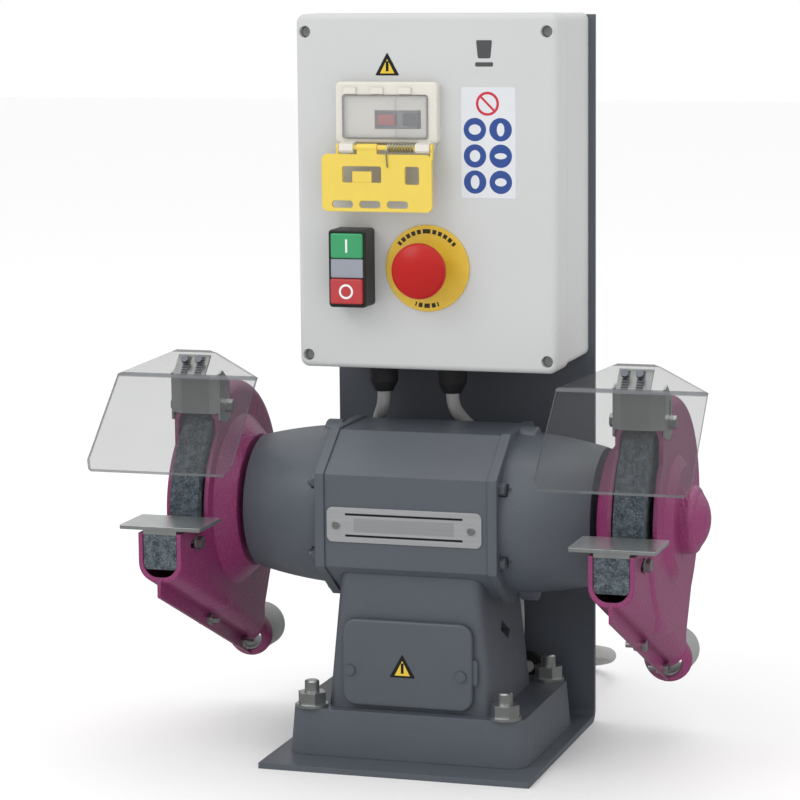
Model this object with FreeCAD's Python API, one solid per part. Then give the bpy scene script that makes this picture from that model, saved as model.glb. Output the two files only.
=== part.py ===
import FreeCAD, Part
import math
import os
from FreeCAD import Vector

# A double-ended bench grinder on a bent steel bracket that carries its switch cabinet.
# Millimetres. +X runs along the spindle, -Y faces the user, +Z is up.
# The origin is the centre of the bracket's width on its underside, under the cabinet's front face.

# ---- bracket and cabinet ----
BASE_W = 188.0
BASE_T = 4.0
BASE_FRONT = -87.5
PLATE_FACE = 94.0
PLATE_TOP = 499.0
BEND_R = 9.0
CAB_W = 182.0
CAB_H = 240.0
CAB_Z = 261.5
LID_DEPTH = 30.0
CAB_WALL = 3.0
LID_SCREW_X = 84.3
LID_SCREW_Z = (CAB_Z + 8.4, CAB_Z + 228.2)

# ---- pedestal ----
PLINTH_TOP = 36.0
PLINTH_HALF = 84.0
PLINTH_Y = (-59.5, 76.0)
ANCHOR_X = 68.0
ANCHOR_Y = (-50.0, 65.0)
STUD_R = 5.0
STUD_TOP = 54.0
COLUMN_FRONT = -46.0
COLUMN_REAR = 55.0

# ---- motor and spindle ----
AXIS_Y = 12.0
AXIS_Z = 165.0
MOTOR_HALF = 57.0
MOTOR_DEPTH = 64.0
MOTOR_RISE = 56.5
FLAT_RISE = 31.5
FLAT_DEPTH = 28.0
FLANGE_T = 6.5
BELL_END = 122.0
BELL_END_R = 46.0
HUB_END = 126.5
HUB_R = 29.0
SHAFT_R = 7.5
BORE_GAP = 0.05
BEARING_X = 116.0
BEARING_W = 11.0
BEARING_R = 17.5

# ---- wheels and guards ----
WHEEL_X = 154.0
WHEEL_R = 75.0
WHEEL_W = 20.0
DRUM_X = (138.8, 171.0)
CHUTE_X = (138.8, 169.0)
DRUM_R = 82.0
DRUM_CENTRE = (11.0, 166.5)
COLLAR_X = (HUB_END, 141.0)
COLLAR_R = (46.0, 62.0)
GUARD_T = 3.0
MOUTH_Y = -107.6
MOUTH_TOP = 161.5
CHUTE_FALL = -0.455
CHUTE_LOW = 128.5
CHUTE_REAR = 63.0
EDGE_R = (69.0, 63.0)
LIP_SCREW_Y = (-24.0, 44.5)
ARRESTER_Y = -33.0
FLANGE_DROP = 10.0
LIP_T = 1.2
STUB_R = 16.0
STUB_Z = 57.5
STUB_END = 94.0
SOCKET_TOP = (47.0, 72.0, 14.0)
SOCKET_END = (CHUTE_REAR, STUB_Z, 17.2)

# ---- rests, arresters, shields ----
REST_TOP = 166.0
REST_T = 2.5
REST_W = 57.5
REST_Y = (-108.0, -66.5)
REST_BOLT = (-79.0, 151.0)
REST_TRAVEL = 8.0
REST_WEAR = 12.0
SEAL_REAR = -97.0
PLATE_Y = -38.5
EAR_Y = -33.9
PLATE_Z = (232.0, 257.0)
EAR_X = (137.2, 172.6)
EAR_BOLT = (-20.0, 235.5)
SHIELD_REAR = (-39.0, 276.0)
SHIELD_CREASE = (-53.0, 260.0)
SHIELD_FOOT = (-112.0, 204.0)
SHIELD_T = 3.0

# ---- controls ----
HINGE_Y = -14.0
HINGE_Z = 413.0
STOP_X = 1.4
STOP_Z = 331.2

# ---- cables ----
LEAD_HOLE = (46.0, PLATE_FACE - 1, 38.0)
LEAD_EXIT = 113.0
FEED_HOLE = (-22.0, COLUMN_REAR, 84.0)
GLAND_Y = 47.0
GLAND_X = (-45.5, 4.4)
CABLE_R = 4.5
COIL_CENTRE = (-20.0, 198.0)
COIL_R = (36.2, 64.8)
COIL_H = 18.6

X_AXIS = Vector(1, 0, 0)
Y_AXIS = Vector(0, 1, 0)
Z_AXIS = Vector(0, 0, 1)


def box(x0, x1, y0, y1, z0, z1):
    """Block between two opposite corners."""
    return Part.makeBox(x1 - x0, y1 - y0, z1 - z0, Vector(x0, y0, z0))


def cyl(centre, axis, radius, length):
    """Cylinder that starts at centre and runs along axis."""
    return Part.makeCylinder(radius, length, Vector(*centre), axis)


def ring(centre, axis, outer, inner, length):
    """Cylinder with a bore."""
    return cyl(centre, axis, outer, length).cut(cyl(centre, axis, inner, length))


def hexagon(centre, axis, across, length):
    """Hexagonal bar across flats, starting at centre and running along axis."""
    radius = across / math.sqrt(3)
    corners = [Vector(radius * math.cos(math.radians(60 * i)), radius * math.sin(math.radians(60 * i)), 0)
               for i in range(7)]
    bar = Part.Face(Part.makePolygon(corners)).extrude(Vector(0, 0, length))
    bar.Placement = FreeCAD.Placement(Vector(*centre), FreeCAD.Rotation(Z_AXIS, axis))
    return bar


def slab(points, x0, x1):
    """Outline given as (y, z) corners, extruded from x0 to x1."""
    corners = [Vector(x0, y, z) for y, z in points]
    return Part.Face(Part.makePolygon(corners + corners[:1])).extrude(Vector(x1 - x0, 0, 0))


def edges_along(shape, axis):
    """Straight edges of a shape that run along an axis."""
    found = []
    for edge in shape.Edges:
        ends = [v.Point for v in edge.Vertexes]
        if len(ends) == 2 and (ends[1] - ends[0]).normalize().cross(axis).Length < 1e-6:
            found.append(edge)
    return found


def round_box(x0, x1, y0, y1, z0, z1, axis, radius):
    """Block whose edges along one axis are rounded."""
    block = box(x0, x1, y0, y1, z0, z1)
    return block.makeFillet(radius, edges_along(block, axis))


def fuse(shapes):
    """One shape from several."""
    whole = shapes[0]
    for shape in shapes[1:]:
        whole = whole.fuse(shape)
    return whole.removeSplitter()


def mirrored(shape, side):
    """The right-hand piece itself for side 1, or its mirror image for side -1."""
    if side > 0:
        return shape
    return shape.mirror(Vector(0, 0, 0), X_AXIS)


def save(node, shapes):
    """Write one node's STEP from a shape or a list of separate solids."""
    whole = Part.makeCompound(shapes) if isinstance(shapes, list) else shapes
    if not whole.isValid():
        print("not valid:", node)
    whole.exportStep("parts/" + node + ".step")


# ---------------------------------------------------------------- bracket and pedestal

def base_bracket():
    """Floor plate and back plate bent from one 4 mm sheet, drilled for anchors and the lead."""
    half = BASE_W / 2
    rear = PLATE_FACE + BASE_T
    sheet = slab([(BASE_FRONT, 0), (rear, 0), (rear, PLATE_TOP), (PLATE_FACE, PLATE_TOP),
                  (PLATE_FACE, BASE_T), (BASE_FRONT, BASE_T)], -half, half)
    outer = [e for e in edges_along(sheet, X_AXIS) if abs(e.Vertexes[0].Y - rear) < 0.1 and e.Vertexes[0].Z < 0.1]
    sheet = sheet.makeFillet(BEND_R, outer)
    inner = [e for e in edges_along(sheet, X_AXIS)
             if abs(e.Vertexes[0].Y - PLATE_FACE) < 0.1 and abs(e.Vertexes[0].Z - BASE_T) < 0.1]
    sheet = sheet.makeFillet(BEND_R - BASE_T, inner)
    for x in (-ANCHOR_X, ANCHOR_X):
        for y in ANCHOR_Y:
            sheet = sheet.cut(cyl((x, y, -1), Z_AXIS, STUD_R + 0.5, BASE_T + 2))
    for x in (-60, 60):
        for z in (CAB_Z + 30, CAB_Z + 205):
            sheet = sheet.cut(cyl((x, PLATE_FACE - 1, z), Y_AXIS, 2.6, BASE_T + 2))
    return sheet.cut(cyl(LEAD_HOLE, Y_AXIS, 8.05, BASE_T + 2))


def anchor_fasteners():
    """Four studs with their nuts and wide washers."""
    pieces = []
    for x in (-ANCHOR_X, ANCHOR_X):
        for y in ANCHOR_Y:
            stud = cyl((x, y, 0), Z_AXIS, STUD_R, STUD_TOP)
            pieces.append(stud.makeChamfer(0.9, [stud.Edges[0]]))
            pieces.append(ring((x, y, PLINTH_TOP), Z_AXIS, 11.0, STUD_R + 0.3, 2.0))
            nut = hexagon((x, y, PLINTH_TOP + 2), Z_AXIS, 17.0, 8.0)
            pieces.append(nut.cut(cyl((x, y, PLINTH_TOP), Z_AXIS, STUD_R, 12.0)))
    return pieces


def tapered(bottom, top, z0, z1, radius):
    """Column lofted between two rounded rectangles given as (x half, y front, y rear)."""
    wires = []
    for (half, front, rear), z in ((bottom, z0), (top, z1)):
        block = round_box(-half, half, front, rear, z, z + 1, Z_AXIS, radius)
        face = [f for f in block.Faces if abs(f.CenterOfMass.z - z) < 1e-6][0]
        wires.append(face.OuterWire)
    return Part.makeLoft(wires, True)


def motor_outline(grow):
    """Corners of the motor's eight-sided section, grown outwards by a wall."""
    slope = grow * 0.35
    return [(AXIS_Y + y, AXIS_Z + z) for y, z in (
        (-MOTOR_DEPTH - grow, -FLAT_RISE - slope), (-FLAT_DEPTH - slope, -MOTOR_RISE - grow),
        (FLAT_DEPTH + slope, -MOTOR_RISE - grow), (MOTOR_DEPTH + grow, -FLAT_RISE - slope),
        (MOTOR_DEPTH + grow, FLAT_RISE + slope), (FLAT_DEPTH + slope, MOTOR_RISE + grow),
        (-FLAT_DEPTH - slope, MOTOR_RISE + grow), (-MOTOR_DEPTH - grow, FLAT_RISE + slope))]


def pedestal():
    """Hollow casting: a plinth, and a column whose top is a saddle for the motor."""
    front, rear = PLINTH_Y
    plinth = tapered((PLINTH_HALF, front, rear), (PLINTH_HALF - 2.5, front + 2, rear - 2), BASE_T, PLINTH_TOP, 13.0)
    column = tapered((58.5, COLUMN_FRONT, COLUMN_REAR), (48.5, COLUMN_FRONT + 1, COLUMN_REAR - 3),
                     PLINTH_TOP - 1, AXIS_Z - FLAT_RISE + 2, 7.0)
    casting = plinth.fuse(column).removeSplitter()
    casting = casting.cut(slab(motor_outline(0), -80, 80))
    hollow = tapered((PLINTH_HALF - 6, front + 6, rear - 6), (PLINTH_HALF - 8, front + 8, rear - 8),
                     BASE_T - 1, PLINTH_TOP - 6, 9.0)
    for x in (-ANCHOR_X, ANCHOR_X):
        for y in ANCHOR_Y:
            hollow = hollow.cut(cyl((x, y, 0), Z_AXIS, 12.0, PLINTH_TOP))
    casting = casting.cut(hollow)
    casting = casting.cut(tapered((53, COLUMN_FRONT + 5, COLUMN_REAR - 5), (45, COLUMN_FRONT + 6, COLUMN_REAR - 8),
                                  PLINTH_TOP - 8, 102.0, 4.0))
    for x in (-ANCHOR_X, ANCHOR_X):
        for y in ANCHOR_Y:
            casting = casting.cut(cyl((x, y, 0), Z_AXIS, STUD_R + 0.5, PLINTH_TOP + 2))
    casting = casting.cut(round_box(-36, 36, COLUMN_FRONT - 5, COLUMN_FRONT + 8, 46, 90, Y_AXIS, 5.0))
    casting = casting.cut(cyl((FEED_HOLE[0], COLUMN_REAR - 12, FEED_HOLE[2]), Y_AXIS, CABLE_R + 0.5, 20))
    for x in (-40.5, 37.5):
        casting = casting.cut(cyl((x, COLUMN_FRONT - 2, 62.8), Y_AXIS, 2.0, 12))
    vent = slab([(15, 82), (-2, 92), (-7, 86), (8, 77)], -70, 70)
    return casting.cut(vent)


def terminal_cover():
    """Shallow lid over the wiring opening in the column's front."""
    lid = round_box(-45.8, 45.2, COLUMN_FRONT - 4.5, COLUMN_FRONT, 38.5, 98.0, Y_AXIS, 9.0)
    front = [e for e in lid.Edges if all(abs(v.Y - (COLUMN_FRONT - 4.5)) < 1e-6 for v in e.Vertexes)]
    lid = lid.makeFillet(1.6, front)
    lid = lid.fuse(round_box(43.0, 48.4, COLUMN_FRONT - 2.4, COLUMN_FRONT, 56.5, 74.0, Y_AXIS, 2.0)).removeSplitter()
    for x in (-40.5, 37.5):
        lid = lid.cut(cyl((x, COLUMN_FRONT - 6, 62.8), Y_AXIS, 2.1, 8))
    return lid


def pan_screw(centre, axis, head_r, head_h, shank_r, length):
    """Round-headed screw: the head starts at centre and the shank runs on along axis."""
    start = Vector(*centre)
    head = cyl(centre, axis, head_r, head_h)
    shank = cyl(tuple(start + axis * head_h), axis, shank_r, length)
    return head.fuse(shank).removeSplitter()


def small_fasteners():
    """Cover screws, cabinet lid screws and nameplate rivets."""
    pieces = [pan_screw((x, COLUMN_FRONT - 6.3, 62.8), Y_AXIS, 3.6, 1.8, 2.0, 9.0) for x in (-40.5, 37.5)]
    for x in (-LID_SCREW_X, LID_SCREW_X):
        for z in LID_SCREW_Z:
            pieces.append(pan_screw((x, 5.0, z), Y_AXIS, 3.3, 3.0, 2.0, 30.0))
    for x in (-48.3, 45.9):
        pieces.append(pan_screw((x, AXIS_Y - MOTOR_DEPTH - 2.4, 162.5), Y_AXIS, 2.6, 1.4, 1.2, 3.5))
    return pieces


def column_electrics():
    """Can capacitor lying in the column, and a six-way terminal strip behind the cover."""
    can = cyl((-30, 25, 54), X_AXIS, 17.0, 62.0)
    block = box(-28, 28, -38, -22, 78, 92)
    for i in range(6):
        x = -28 + 56 / 6 * (i + 0.5)
        block = block.cut(cyl((x, -30, 86), Z_AXIS, 2.2, 10))
    return [can.makeFillet(1.5, [can.Edges[0], can.Edges[2]]), block]


# ---------------------------------------------------------------- motor

def motor_housing():
    """Eight-sided extruded housing, open at both ends."""
    shell = slab(motor_outline(0), -MOTOR_HALF, MOTOR_HALF)
    shell = shell.cut(slab(motor_outline(-4.0), -MOTOR_HALF - 1, MOTOR_HALF + 1))
    for x in (-48.3, 45.9):
        shell = shell.cut(cyl((x, AXIS_Y - MOTOR_DEPTH - 1, 162.5), Y_AXIS, 1.2, 6))
    return shell


def oval(x, depth, rise):
    """Closed oval wire across the spindle."""
    big, small, turn = (depth, rise, 0) if depth > rise else (rise, depth, 90)
    if abs(big - small) < 1e-6:
        edge = Part.makeCircle(big, Vector(x, AXIS_Y, AXIS_Z), X_AXIS)
    else:
        curve = Part.Ellipse(Vector(0, 0, 0), big, small).toShape()
        curve.Placement = FreeCAD.Placement(Vector(x, AXIS_Y, AXIS_Z),
                                            FreeCAD.Rotation(Vector(0, 1, 0), Vector(0, 0, 1), Vector(1, 0, 0), "ZXY"))
        edge = curve.Edges[0]
    return Part.Wire([edge])


def bell_bolt_places():
    """Where the four through bolts pass, as (y, z)."""
    return [(AXIS_Y + y, AXIS_Z + z) for y in (-56.0, 56.0) for z in (-25.0, 25.0)]


def end_bell():
    """Right-hand bearing bell: flange, tapered oval body, hub and two cast lugs."""
    flange = slab(motor_outline(1.2), MOTOR_HALF, MOTOR_HALF + FLANGE_T)
    start = MOTOR_HALF + FLANGE_T - 0.5
    body = Part.makeLoft([oval(start, 61.0, 55.0), oval(95.0, 56.5, 51.5), oval(BELL_END, BELL_END_R, BELL_END_R)], True)
    hub = cyl((BELL_END - 1, AXIS_Y, AXIS_Z), X_AXIS, HUB_R, HUB_END - BELL_END + 1)
    bell = fuse([flange, body, hub])
    for z in (AXIS_Z + 50.5, AXIS_Z - 52.5):
        lug = cyl((MOTOR_HALF + FLANGE_T, AXIS_Y, z), X_AXIS, 8.5, 12.0)
        bell = bell.fuse(lug.makeFillet(2.0, [e for e in lug.Edges if abs(e.BoundBox.XMin - 75.5) < 0.1][:1]))
    inside = Part.makeLoft([oval(MOTOR_HALF - 1, 57.0, 50.5), oval(95.0, 52.5, 47.5), oval(BELL_END - 5, 41.0, 41.0)],
                           True)
    bell = bell.cut(inside)
    bell = bell.cut(cyl((BEARING_X - BEARING_W / 2 - 8, AXIS_Y, AXIS_Z), X_AXIS, BEARING_R + BORE_GAP,
                        BEARING_W + 8))
    housing = ring((BEARING_X - BEARING_W / 2, AXIS_Y, AXIS_Z), X_AXIS, 23.0, BEARING_R + BORE_GAP, BEARING_W)
    bell = bell.fuse(housing)
    bell = bell.cut(cyl((BEARING_X, AXIS_Y, AXIS_Z), X_AXIS, SHAFT_R + 2.0, 30))
    for y, z in bell_bolt_places():
        bell = bell.cut(cyl((MOTOR_HALF - 1, y, z), X_AXIS, 2.6, FLANGE_T + 8))
        bell = bell.cut(cyl((MOTOR_HALF + FLANGE_T, y, z), X_AXIS, 4.9, 5))
    for angle in (90, 210, 330):
        y, z = on_circle(22.0, angle)
        bell = bell.cut(cyl((HUB_END - 8, y, z), X_AXIS, 2.0, 9))
    return bell.removeSplitter()


def on_circle(radius, angle):
    """Point (y, z) at a radius and angle about the spindle, from +Y towards +Z."""
    turn = math.radians(angle)
    return AXIS_Y + radius * math.cos(turn), AXIS_Z + radius * math.sin(turn)


def motor_bolts():
    """Four long through bolts with hexagon heads on the right and nuts on the left."""
    pieces = []
    end = MOTOR_HALF + FLANGE_T
    for y, z in bell_bolt_places():
        rod = cyl((-end - 7, y, z), X_AXIS, 2.4, 2 * end + 7)
        pieces.append(rod.fuse(hexagon((end, y, z), X_AXIS, 8.0, 4.0)).removeSplitter())
        nut = hexagon((-end - 4, y, z), X_AXIS, 8.0, 4.0)
        pieces.append(nut.cut(cyl((-end - 5, y, z), X_AXIS, 2.4, 6)))
    return pieces


def stator_core():
    """Laminated ring with slots, seated on rails in the housing."""
    core = ring((-30, AXIS_Y, AXIS_Z), X_AXIS, 51.0, 31.0, 60)
    for i in range(12):
        y, z = on_circle(37.0, 30 * i)
        core = core.cut(cyl((-31, y, z), X_AXIS, 4.5, 62))
    return core


def stator_windings():
    """Copper end turns at both ends of the core, and the conductors in its slots."""
    pieces = []
    for side in (-1, 1):
        x = 30.0 if side > 0 else -46.0
        pack = ring((x, AXIS_Y, AXIS_Z), X_AXIS, 45.0, 33.0, 16)
        pieces.append(pack.makeFillet(3.0, [e for e in pack.Edges if len(e.Vertexes) == 1]))
    for i in range(12):
        y, z = on_circle(37.0, 30 * i)
        pieces.append(cyl((-30, y, z), X_AXIS, 4.0, 60))
    return pieces


def rotor_core():
    """Squirrel cage rotor pressed on the shaft."""
    core = ring((-32, AXIS_Y, AXIS_Z), X_AXIS, 30.6, 9.0, 64)
    for i in range(16):
        y, z = on_circle(26.5, 22.5 * i)
        core = core.cut(cyl((-33, y, z), X_AXIS, 1.8, 66))
    return core


def shaft():
    """Stepped spindle with a threaded end beyond each wheel."""
    half = fuse([cyl((0, AXIS_Y, AXIS_Z), X_AXIS, 9.0, BEARING_X - BEARING_W / 2),
                 cyl((0, AXIS_Y, AXIS_Z), X_AXIS, SHAFT_R, 139.0),
                 cyl((0, AXIS_Y, AXIS_Z), X_AXIS, 8.0, 0.1)])
    end = cyl((139.0, AXIS_Y, AXIS_Z), X_AXIS, 6.35, 47.0)
    tip = [e for e in end.Edges if abs(e.BoundBox.XMin - 186.0) < 0.01]
    half = half.fuse(end.makeChamfer(1.2, tip[:1])).removeSplitter()
    return half.fuse(half.mirror(Vector(0, 0, 0), X_AXIS)).removeSplitter()


def bearing_outer_rings():
    """Outer rings of the two ball bearings."""
    pieces = []
    for side in (-1, 1):
        x = side * BEARING_X - BEARING_W / 2
        race = ring((x, AXIS_Y, AXIS_Z), X_AXIS, BEARING_R, 14.6, BEARING_W)
        groove = Part.makeTorus(12.5, 3.1, Vector(side * BEARING_X, AXIS_Y, AXIS_Z), X_AXIS)
        pieces.append(race.cut(groove))
    return pieces


def bearing_inner_sets():
    """Inner rings of the two ball bearings with their balls."""
    pieces = []
    for side in (-1, 1):
        x = side * BEARING_X - BEARING_W / 2
        race = ring((x, AXIS_Y, AXIS_Z), X_AXIS, 10.4, SHAFT_R, BEARING_W)
        groove = Part.makeTorus(12.5, 3.05, Vector(side * BEARING_X, AXIS_Y, AXIS_Z), X_AXIS)
        pieces.append(race.cut(groove))
        for i in range(8):
            y, z = on_circle(12.5, 45 * i)
            pieces.append(Part.makeSphere(3.0, Vector(side * BEARING_X, y, z)))
    return pieces


def nameplate():
    """Thin riveted plate on the motor's front flat."""
    face = AXIS_Y - MOTOR_DEPTH
    name = round_box(-55.0, 52.9, face - 1.0, face, 151.0, 174.5, Y_AXIS, 4.0)
    for x in (-48.3, 45.9):
        name = name.cut(cyl((x, face - 2, 162.5), Y_AXIS, 1.3, 4))
    return name


# ---------------------------------------------------------------- wheels

def wheel():
    """Right-hand abrasive wheel with a bore and a shallow rim chamfer."""
    disc = cyl((WHEEL_X - WHEEL_W / 2, AXIS_Y, AXIS_Z), X_AXIS, WHEEL_R, WHEEL_W)
    disc = disc.makeChamfer(0.6, [e for e in disc.Edges if len(e.Vertexes) == 1])
    return disc.cut(cyl((WHEEL_X - WHEEL_W, AXIS_Y, AXIS_Z), X_AXIS, 6.4, 2 * WHEEL_W))


def wheel_flanges():
    """Dished clamping flanges, one each side of each wheel."""
    pieces = []
    for side in (-1, 1):
        for x, dish in ((139.0, 4.0), (WHEEL_X + WHEEL_W / 2, 0.0)):
            disc = ring((x, AXIS_Y, AXIS_Z), X_AXIS, 24.0, 6.4, 5.0)
            disc = disc.cut(ring((x + dish, AXIS_Y, AXIS_Z), X_AXIS, 18.0, 9.0, 1.0))
            pieces.append(mirrored(disc, side))
    return pieces


def spindle_nuts():
    """Hexagon nuts that clamp the wheels."""
    pieces = []
    for side in (-1, 1):
        start = (WHEEL_X + WHEEL_W / 2 + 5.0, AXIS_Y, AXIS_Z)
        nut = hexagon(start, X_AXIS, 19.0, 10.0).cut(cyl(start, X_AXIS, 6.35, 10.0))
        pieces.append(mirrored(nut, side))
    return pieces


# ---------------------------------------------------------------- guards

def chute_line(y, drop):
    """Height of the chute's sloping underside at y, less a drop."""
    return CHUTE_LOW + CHUTE_FALL * (y - MOUTH_Y) - drop


def chute_solid(wall):
    """Chute as a solid block, shrunk by a wall thickness, open-ended at the mouth when shrunk."""
    front = MOUTH_Y if wall == 0 else MOUTH_Y - 20
    top = MOUTH_TOP if wall == 0 else MOUTH_TOP + 20
    rear = CHUTE_REAR - wall
    low = wall / math.cos(math.atan(CHUTE_FALL))
    outline = [(front, top), (front, chute_line(front, -low)), (rear, chute_line(rear, -low)),
               (rear, 98.0), (74.0 - wall, 118.0 + wall * 0.5), (60.0, 160.0), (-40.0, 160.0), (-40.0, top)]
    x0, x1 = CHUTE_X
    block = slab(outline, x0 + wall, x1 - wall)
    radius = 12.0 - 0.7 * wall
    low_edges = [e for e in block.Edges if all(abs(v.Z - chute_line(v.Y, -low)) < 0.01 for v in e.Vertexes)
                 and abs(e.Vertexes[0].X - e.Vertexes[-1].X) < 0.01]
    rear_edges = [e for e in block.Edges if all(abs(v.Y - rear) < 0.01 for v in e.Vertexes)
                  and abs(e.Vertexes[0].X - e.Vertexes[-1].X) < 0.01]
    corner = [e for e in block.Edges if all(abs(v.Y - rear) < 0.01 and v.Z < 70 for v in e.Vertexes)]
    return block.makeFillet(radius, low_edges + rear_edges + [e for e in corner if e not in rear_edges])


def drum_solid(wall):
    """Drum round the wheel as a solid disc with rounded rims, shrunk by a wall thickness."""
    x0, x1 = DRUM_X
    disc = cyl((x0 + wall, DRUM_CENTRE[0], DRUM_CENTRE[1]), X_AXIS, DRUM_R - wall, x1 - x0 - 2 * wall)
    return disc.makeFillet(9.0 - wall, [e for e in disc.Edges if len(e.Vertexes) == 1])


def boss_solid(wall):
    """Raised round plateau and dome over the spindle end, shrunk by a wall thickness."""
    x1 = DRUM_X[1]
    plateau = Part.makeCone(43.0 - wall, 36.0 - wall, 5.0, Vector(x1 - wall, AXIS_Y, AXIS_Z), X_AXIS)
    root = cyl((x1 - 6, AXIS_Y, AXIS_Z), X_AXIS, 43.0 - wall, 6 - wall)
    rim = 23.2 - wall
    profile = [(0, 0), (0, rim), (11.5, rim), (15.6 - wall * 0.7, rim - 4.2), (22.5 - wall, 1.5), (22.5 - wall, 0)]
    points = [Vector(x1 + x, AXIS_Y, AXIS_Z + r) for x, r in profile]
    shoulder = Vector(x1 + 14.3 - wall * 0.5, AXIS_Y, AXIS_Z + rim - 1.5)
    crest = Vector(x1 + 20.8 - wall, AXIS_Y, AXIS_Z + 10.0)
    edges = [Part.makeLine(points[0], points[1]), Part.makeLine(points[1], points[2]),
             Part.Arc(points[2], shoulder, points[3]).toShape(), Part.Arc(points[3], crest, points[4]).toShape(),
             Part.makeLine(points[4], points[5]), Part.makeLine(points[5], points[0])]
    crown = Part.Face(Part.Wire(edges)).revolve(Vector(0, AXIS_Y, AXIS_Z), X_AXIS, 360)
    return root.fuse(plateau).fuse(crown).removeSplitter()


def collar_solid(wall):
    """Cone that carries the inner wall back to the bell's hub, shrunk by a wall thickness."""
    x0, x1 = COLLAR_X
    small, large = COLLAR_R
    reach = x1 - x0 - wall / 3
    return Part.makeCone(small - wall, large - wall / 3, reach, Vector(x0 + wall, AXIS_Y, AXIS_Z), X_AXIS)


def guard_opening():
    """Space left open in front of the wheel, down to the tool rest."""
    block = box(100, 200, -200, ARRESTER_Y, MOUTH_TOP, 320)
    for x0, x1, radius in ((100, WHEEL_X, EDGE_R[0]), (WHEEL_X, 200, EDGE_R[1])):
        block = block.cut(cyl((x0, AXIS_Y, AXIS_Z), X_AXIS, radius, x1 - x0))
    return block


def stub_hole(radius):
    """Round hole in the chute's rear wall for the dust stub."""
    return cyl((WHEEL_X, CHUTE_REAR - 12, STUB_Z), Y_AXIS, radius, 30)


def socket_solid(wall):
    """Round throat that swells down the chute to the dust stub, shrunk by a wall thickness."""
    wires = []
    for (y, z, radius), inset in ((SOCKET_TOP, 0), (SOCKET_END, wall)):
        wires.append(Part.Wire([Part.makeCircle(radius - wall, Vector(WHEEL_X, y - inset, z), Y_AXIS)]))
    return Part.makeLoft(wires, True)


def guard_whole():
    """Right-hand guard before it is parted at the wheel's middle plane."""
    shell = drum_solid(0).fuse(chute_solid(0)).fuse(boss_solid(0)).fuse(socket_solid(0)).fuse(collar_solid(0))
    shell = shell.cut(drum_solid(GUARD_T)).cut(chute_solid(GUARD_T)).cut(boss_solid(2.0)).cut(socket_solid(GUARD_T))
    shell = shell.cut(collar_solid(GUARD_T))
    shell = shell.cut(guard_opening())
    shell = shell.cut(cyl((100, AXIS_Y, AXIS_Z), X_AXIS, 13.0, 39.5))
    for side_x in (DRUM_X[0] - 3, CHUTE_X[1] - 6):
        y, z = REST_BOLT
        slot = round_box(side_x, side_x + 12, y - REST_TRAVEL - 2.8, y + REST_WEAR + 2.8, z - 2.8, z + 2.8, X_AXIS, 2.7)
        shell = shell.cut(slot)
    for x in (DRUM_X[0] - 2, DRUM_X[1] - 8):
        shell = shell.cut(cyl((x, EAR_BOLT[0], EAR_BOLT[1]), X_AXIS, 2.6, 10))
    return shell.cut(stub_hole(STUB_R - 4.0))


def guard_half(outer):
    """One half of the right-hand guard with its half of the bolted flange."""
    shell = guard_whole()
    keep = box(WHEEL_X, 220, -150, 150, 0, 300) if outer else box(100, WHEEL_X, -150, 150, 0, 300)
    half = shell.common(keep)
    tail = CHUTE_REAR - 1
    strip = [(MOUTH_Y - 2.4, chute_line(MOUTH_Y, 0)), (MOUTH_Y - 2.4, chute_line(MOUTH_Y, FLANGE_DROP)),
             (tail, chute_line(tail, FLANGE_DROP)), (tail, chute_line(tail, -2.0)), (MOUTH_Y, chute_line(MOUTH_Y, -2.0))]
    x0, x1 = (WHEEL_X, WHEEL_X + LIP_T) if outer else (WHEEL_X - LIP_T, WHEEL_X)
    half = half.fuse(slab(strip, x0, x1).cut(socket_solid(GUARD_T)))
    half = half.cut(stub_hole(STUB_R - 4.0))
    for y in LIP_SCREW_Y:
        half = half.cut(cyl((x0 - 1, y, chute_line(y, FLANGE_DROP / 2)), X_AXIS, 2.1, 4))
    if not outer:
        for angle in (90, 210, 330):
            y, z = on_circle(22.0, angle)
            half = half.cut(cyl((COLLAR_X[0] - 2, y, z), X_AXIS, 2.1, 8))
    return half.removeSplitter()


def guard_fasteners():
    """Flange screws with nuts, the screws that hold each guard to its bell, and the bolts of the arrester ears."""
    pieces = []
    for y in LIP_SCREW_Y:
        z = chute_line(y, FLANGE_DROP / 2)
        pieces.append(pan_screw((WHEEL_X + LIP_T + 3.2, y, z), Vector(-1, 0, 0), 3.9, 3.2, 2.0, 11.0))
        nut = hexagon((WHEEL_X - LIP_T - 3.0, y, z), X_AXIS, 7.0, 3.0)
        pieces.append(nut.cut(cyl((WHEEL_X - 6, y, z), X_AXIS, 2.0, 6)))
    for angle in (90, 210, 330):
        y, z = on_circle(22.0, angle)
        pieces.append(pan_screw((COLLAR_X[0] + GUARD_T + 1.4, y, z), Vector(-1, 0, 0), 3.2, 1.4, 1.9, 10.0))
    y, z = EAR_BOLT
    for face, out in ((EAR_X[1] + 0.1, 1), (EAR_X[0] - 0.1, -1)):
        axis = Vector(out, 0, 0)
        start = Vector(face, y, z)
        pieces.append(ring(tuple(start), axis, 5.0, 2.4, 1.0))
        head = hexagon(tuple(start + axis), axis, 8.0, 3.6)
        pieces.append(head.fuse(cyl(tuple(start + axis), axis * -1, 2.35, 6.5)).removeSplitter())
    return [mirrored(piece, side) for piece in pieces for side in (-1, 1)]


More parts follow.
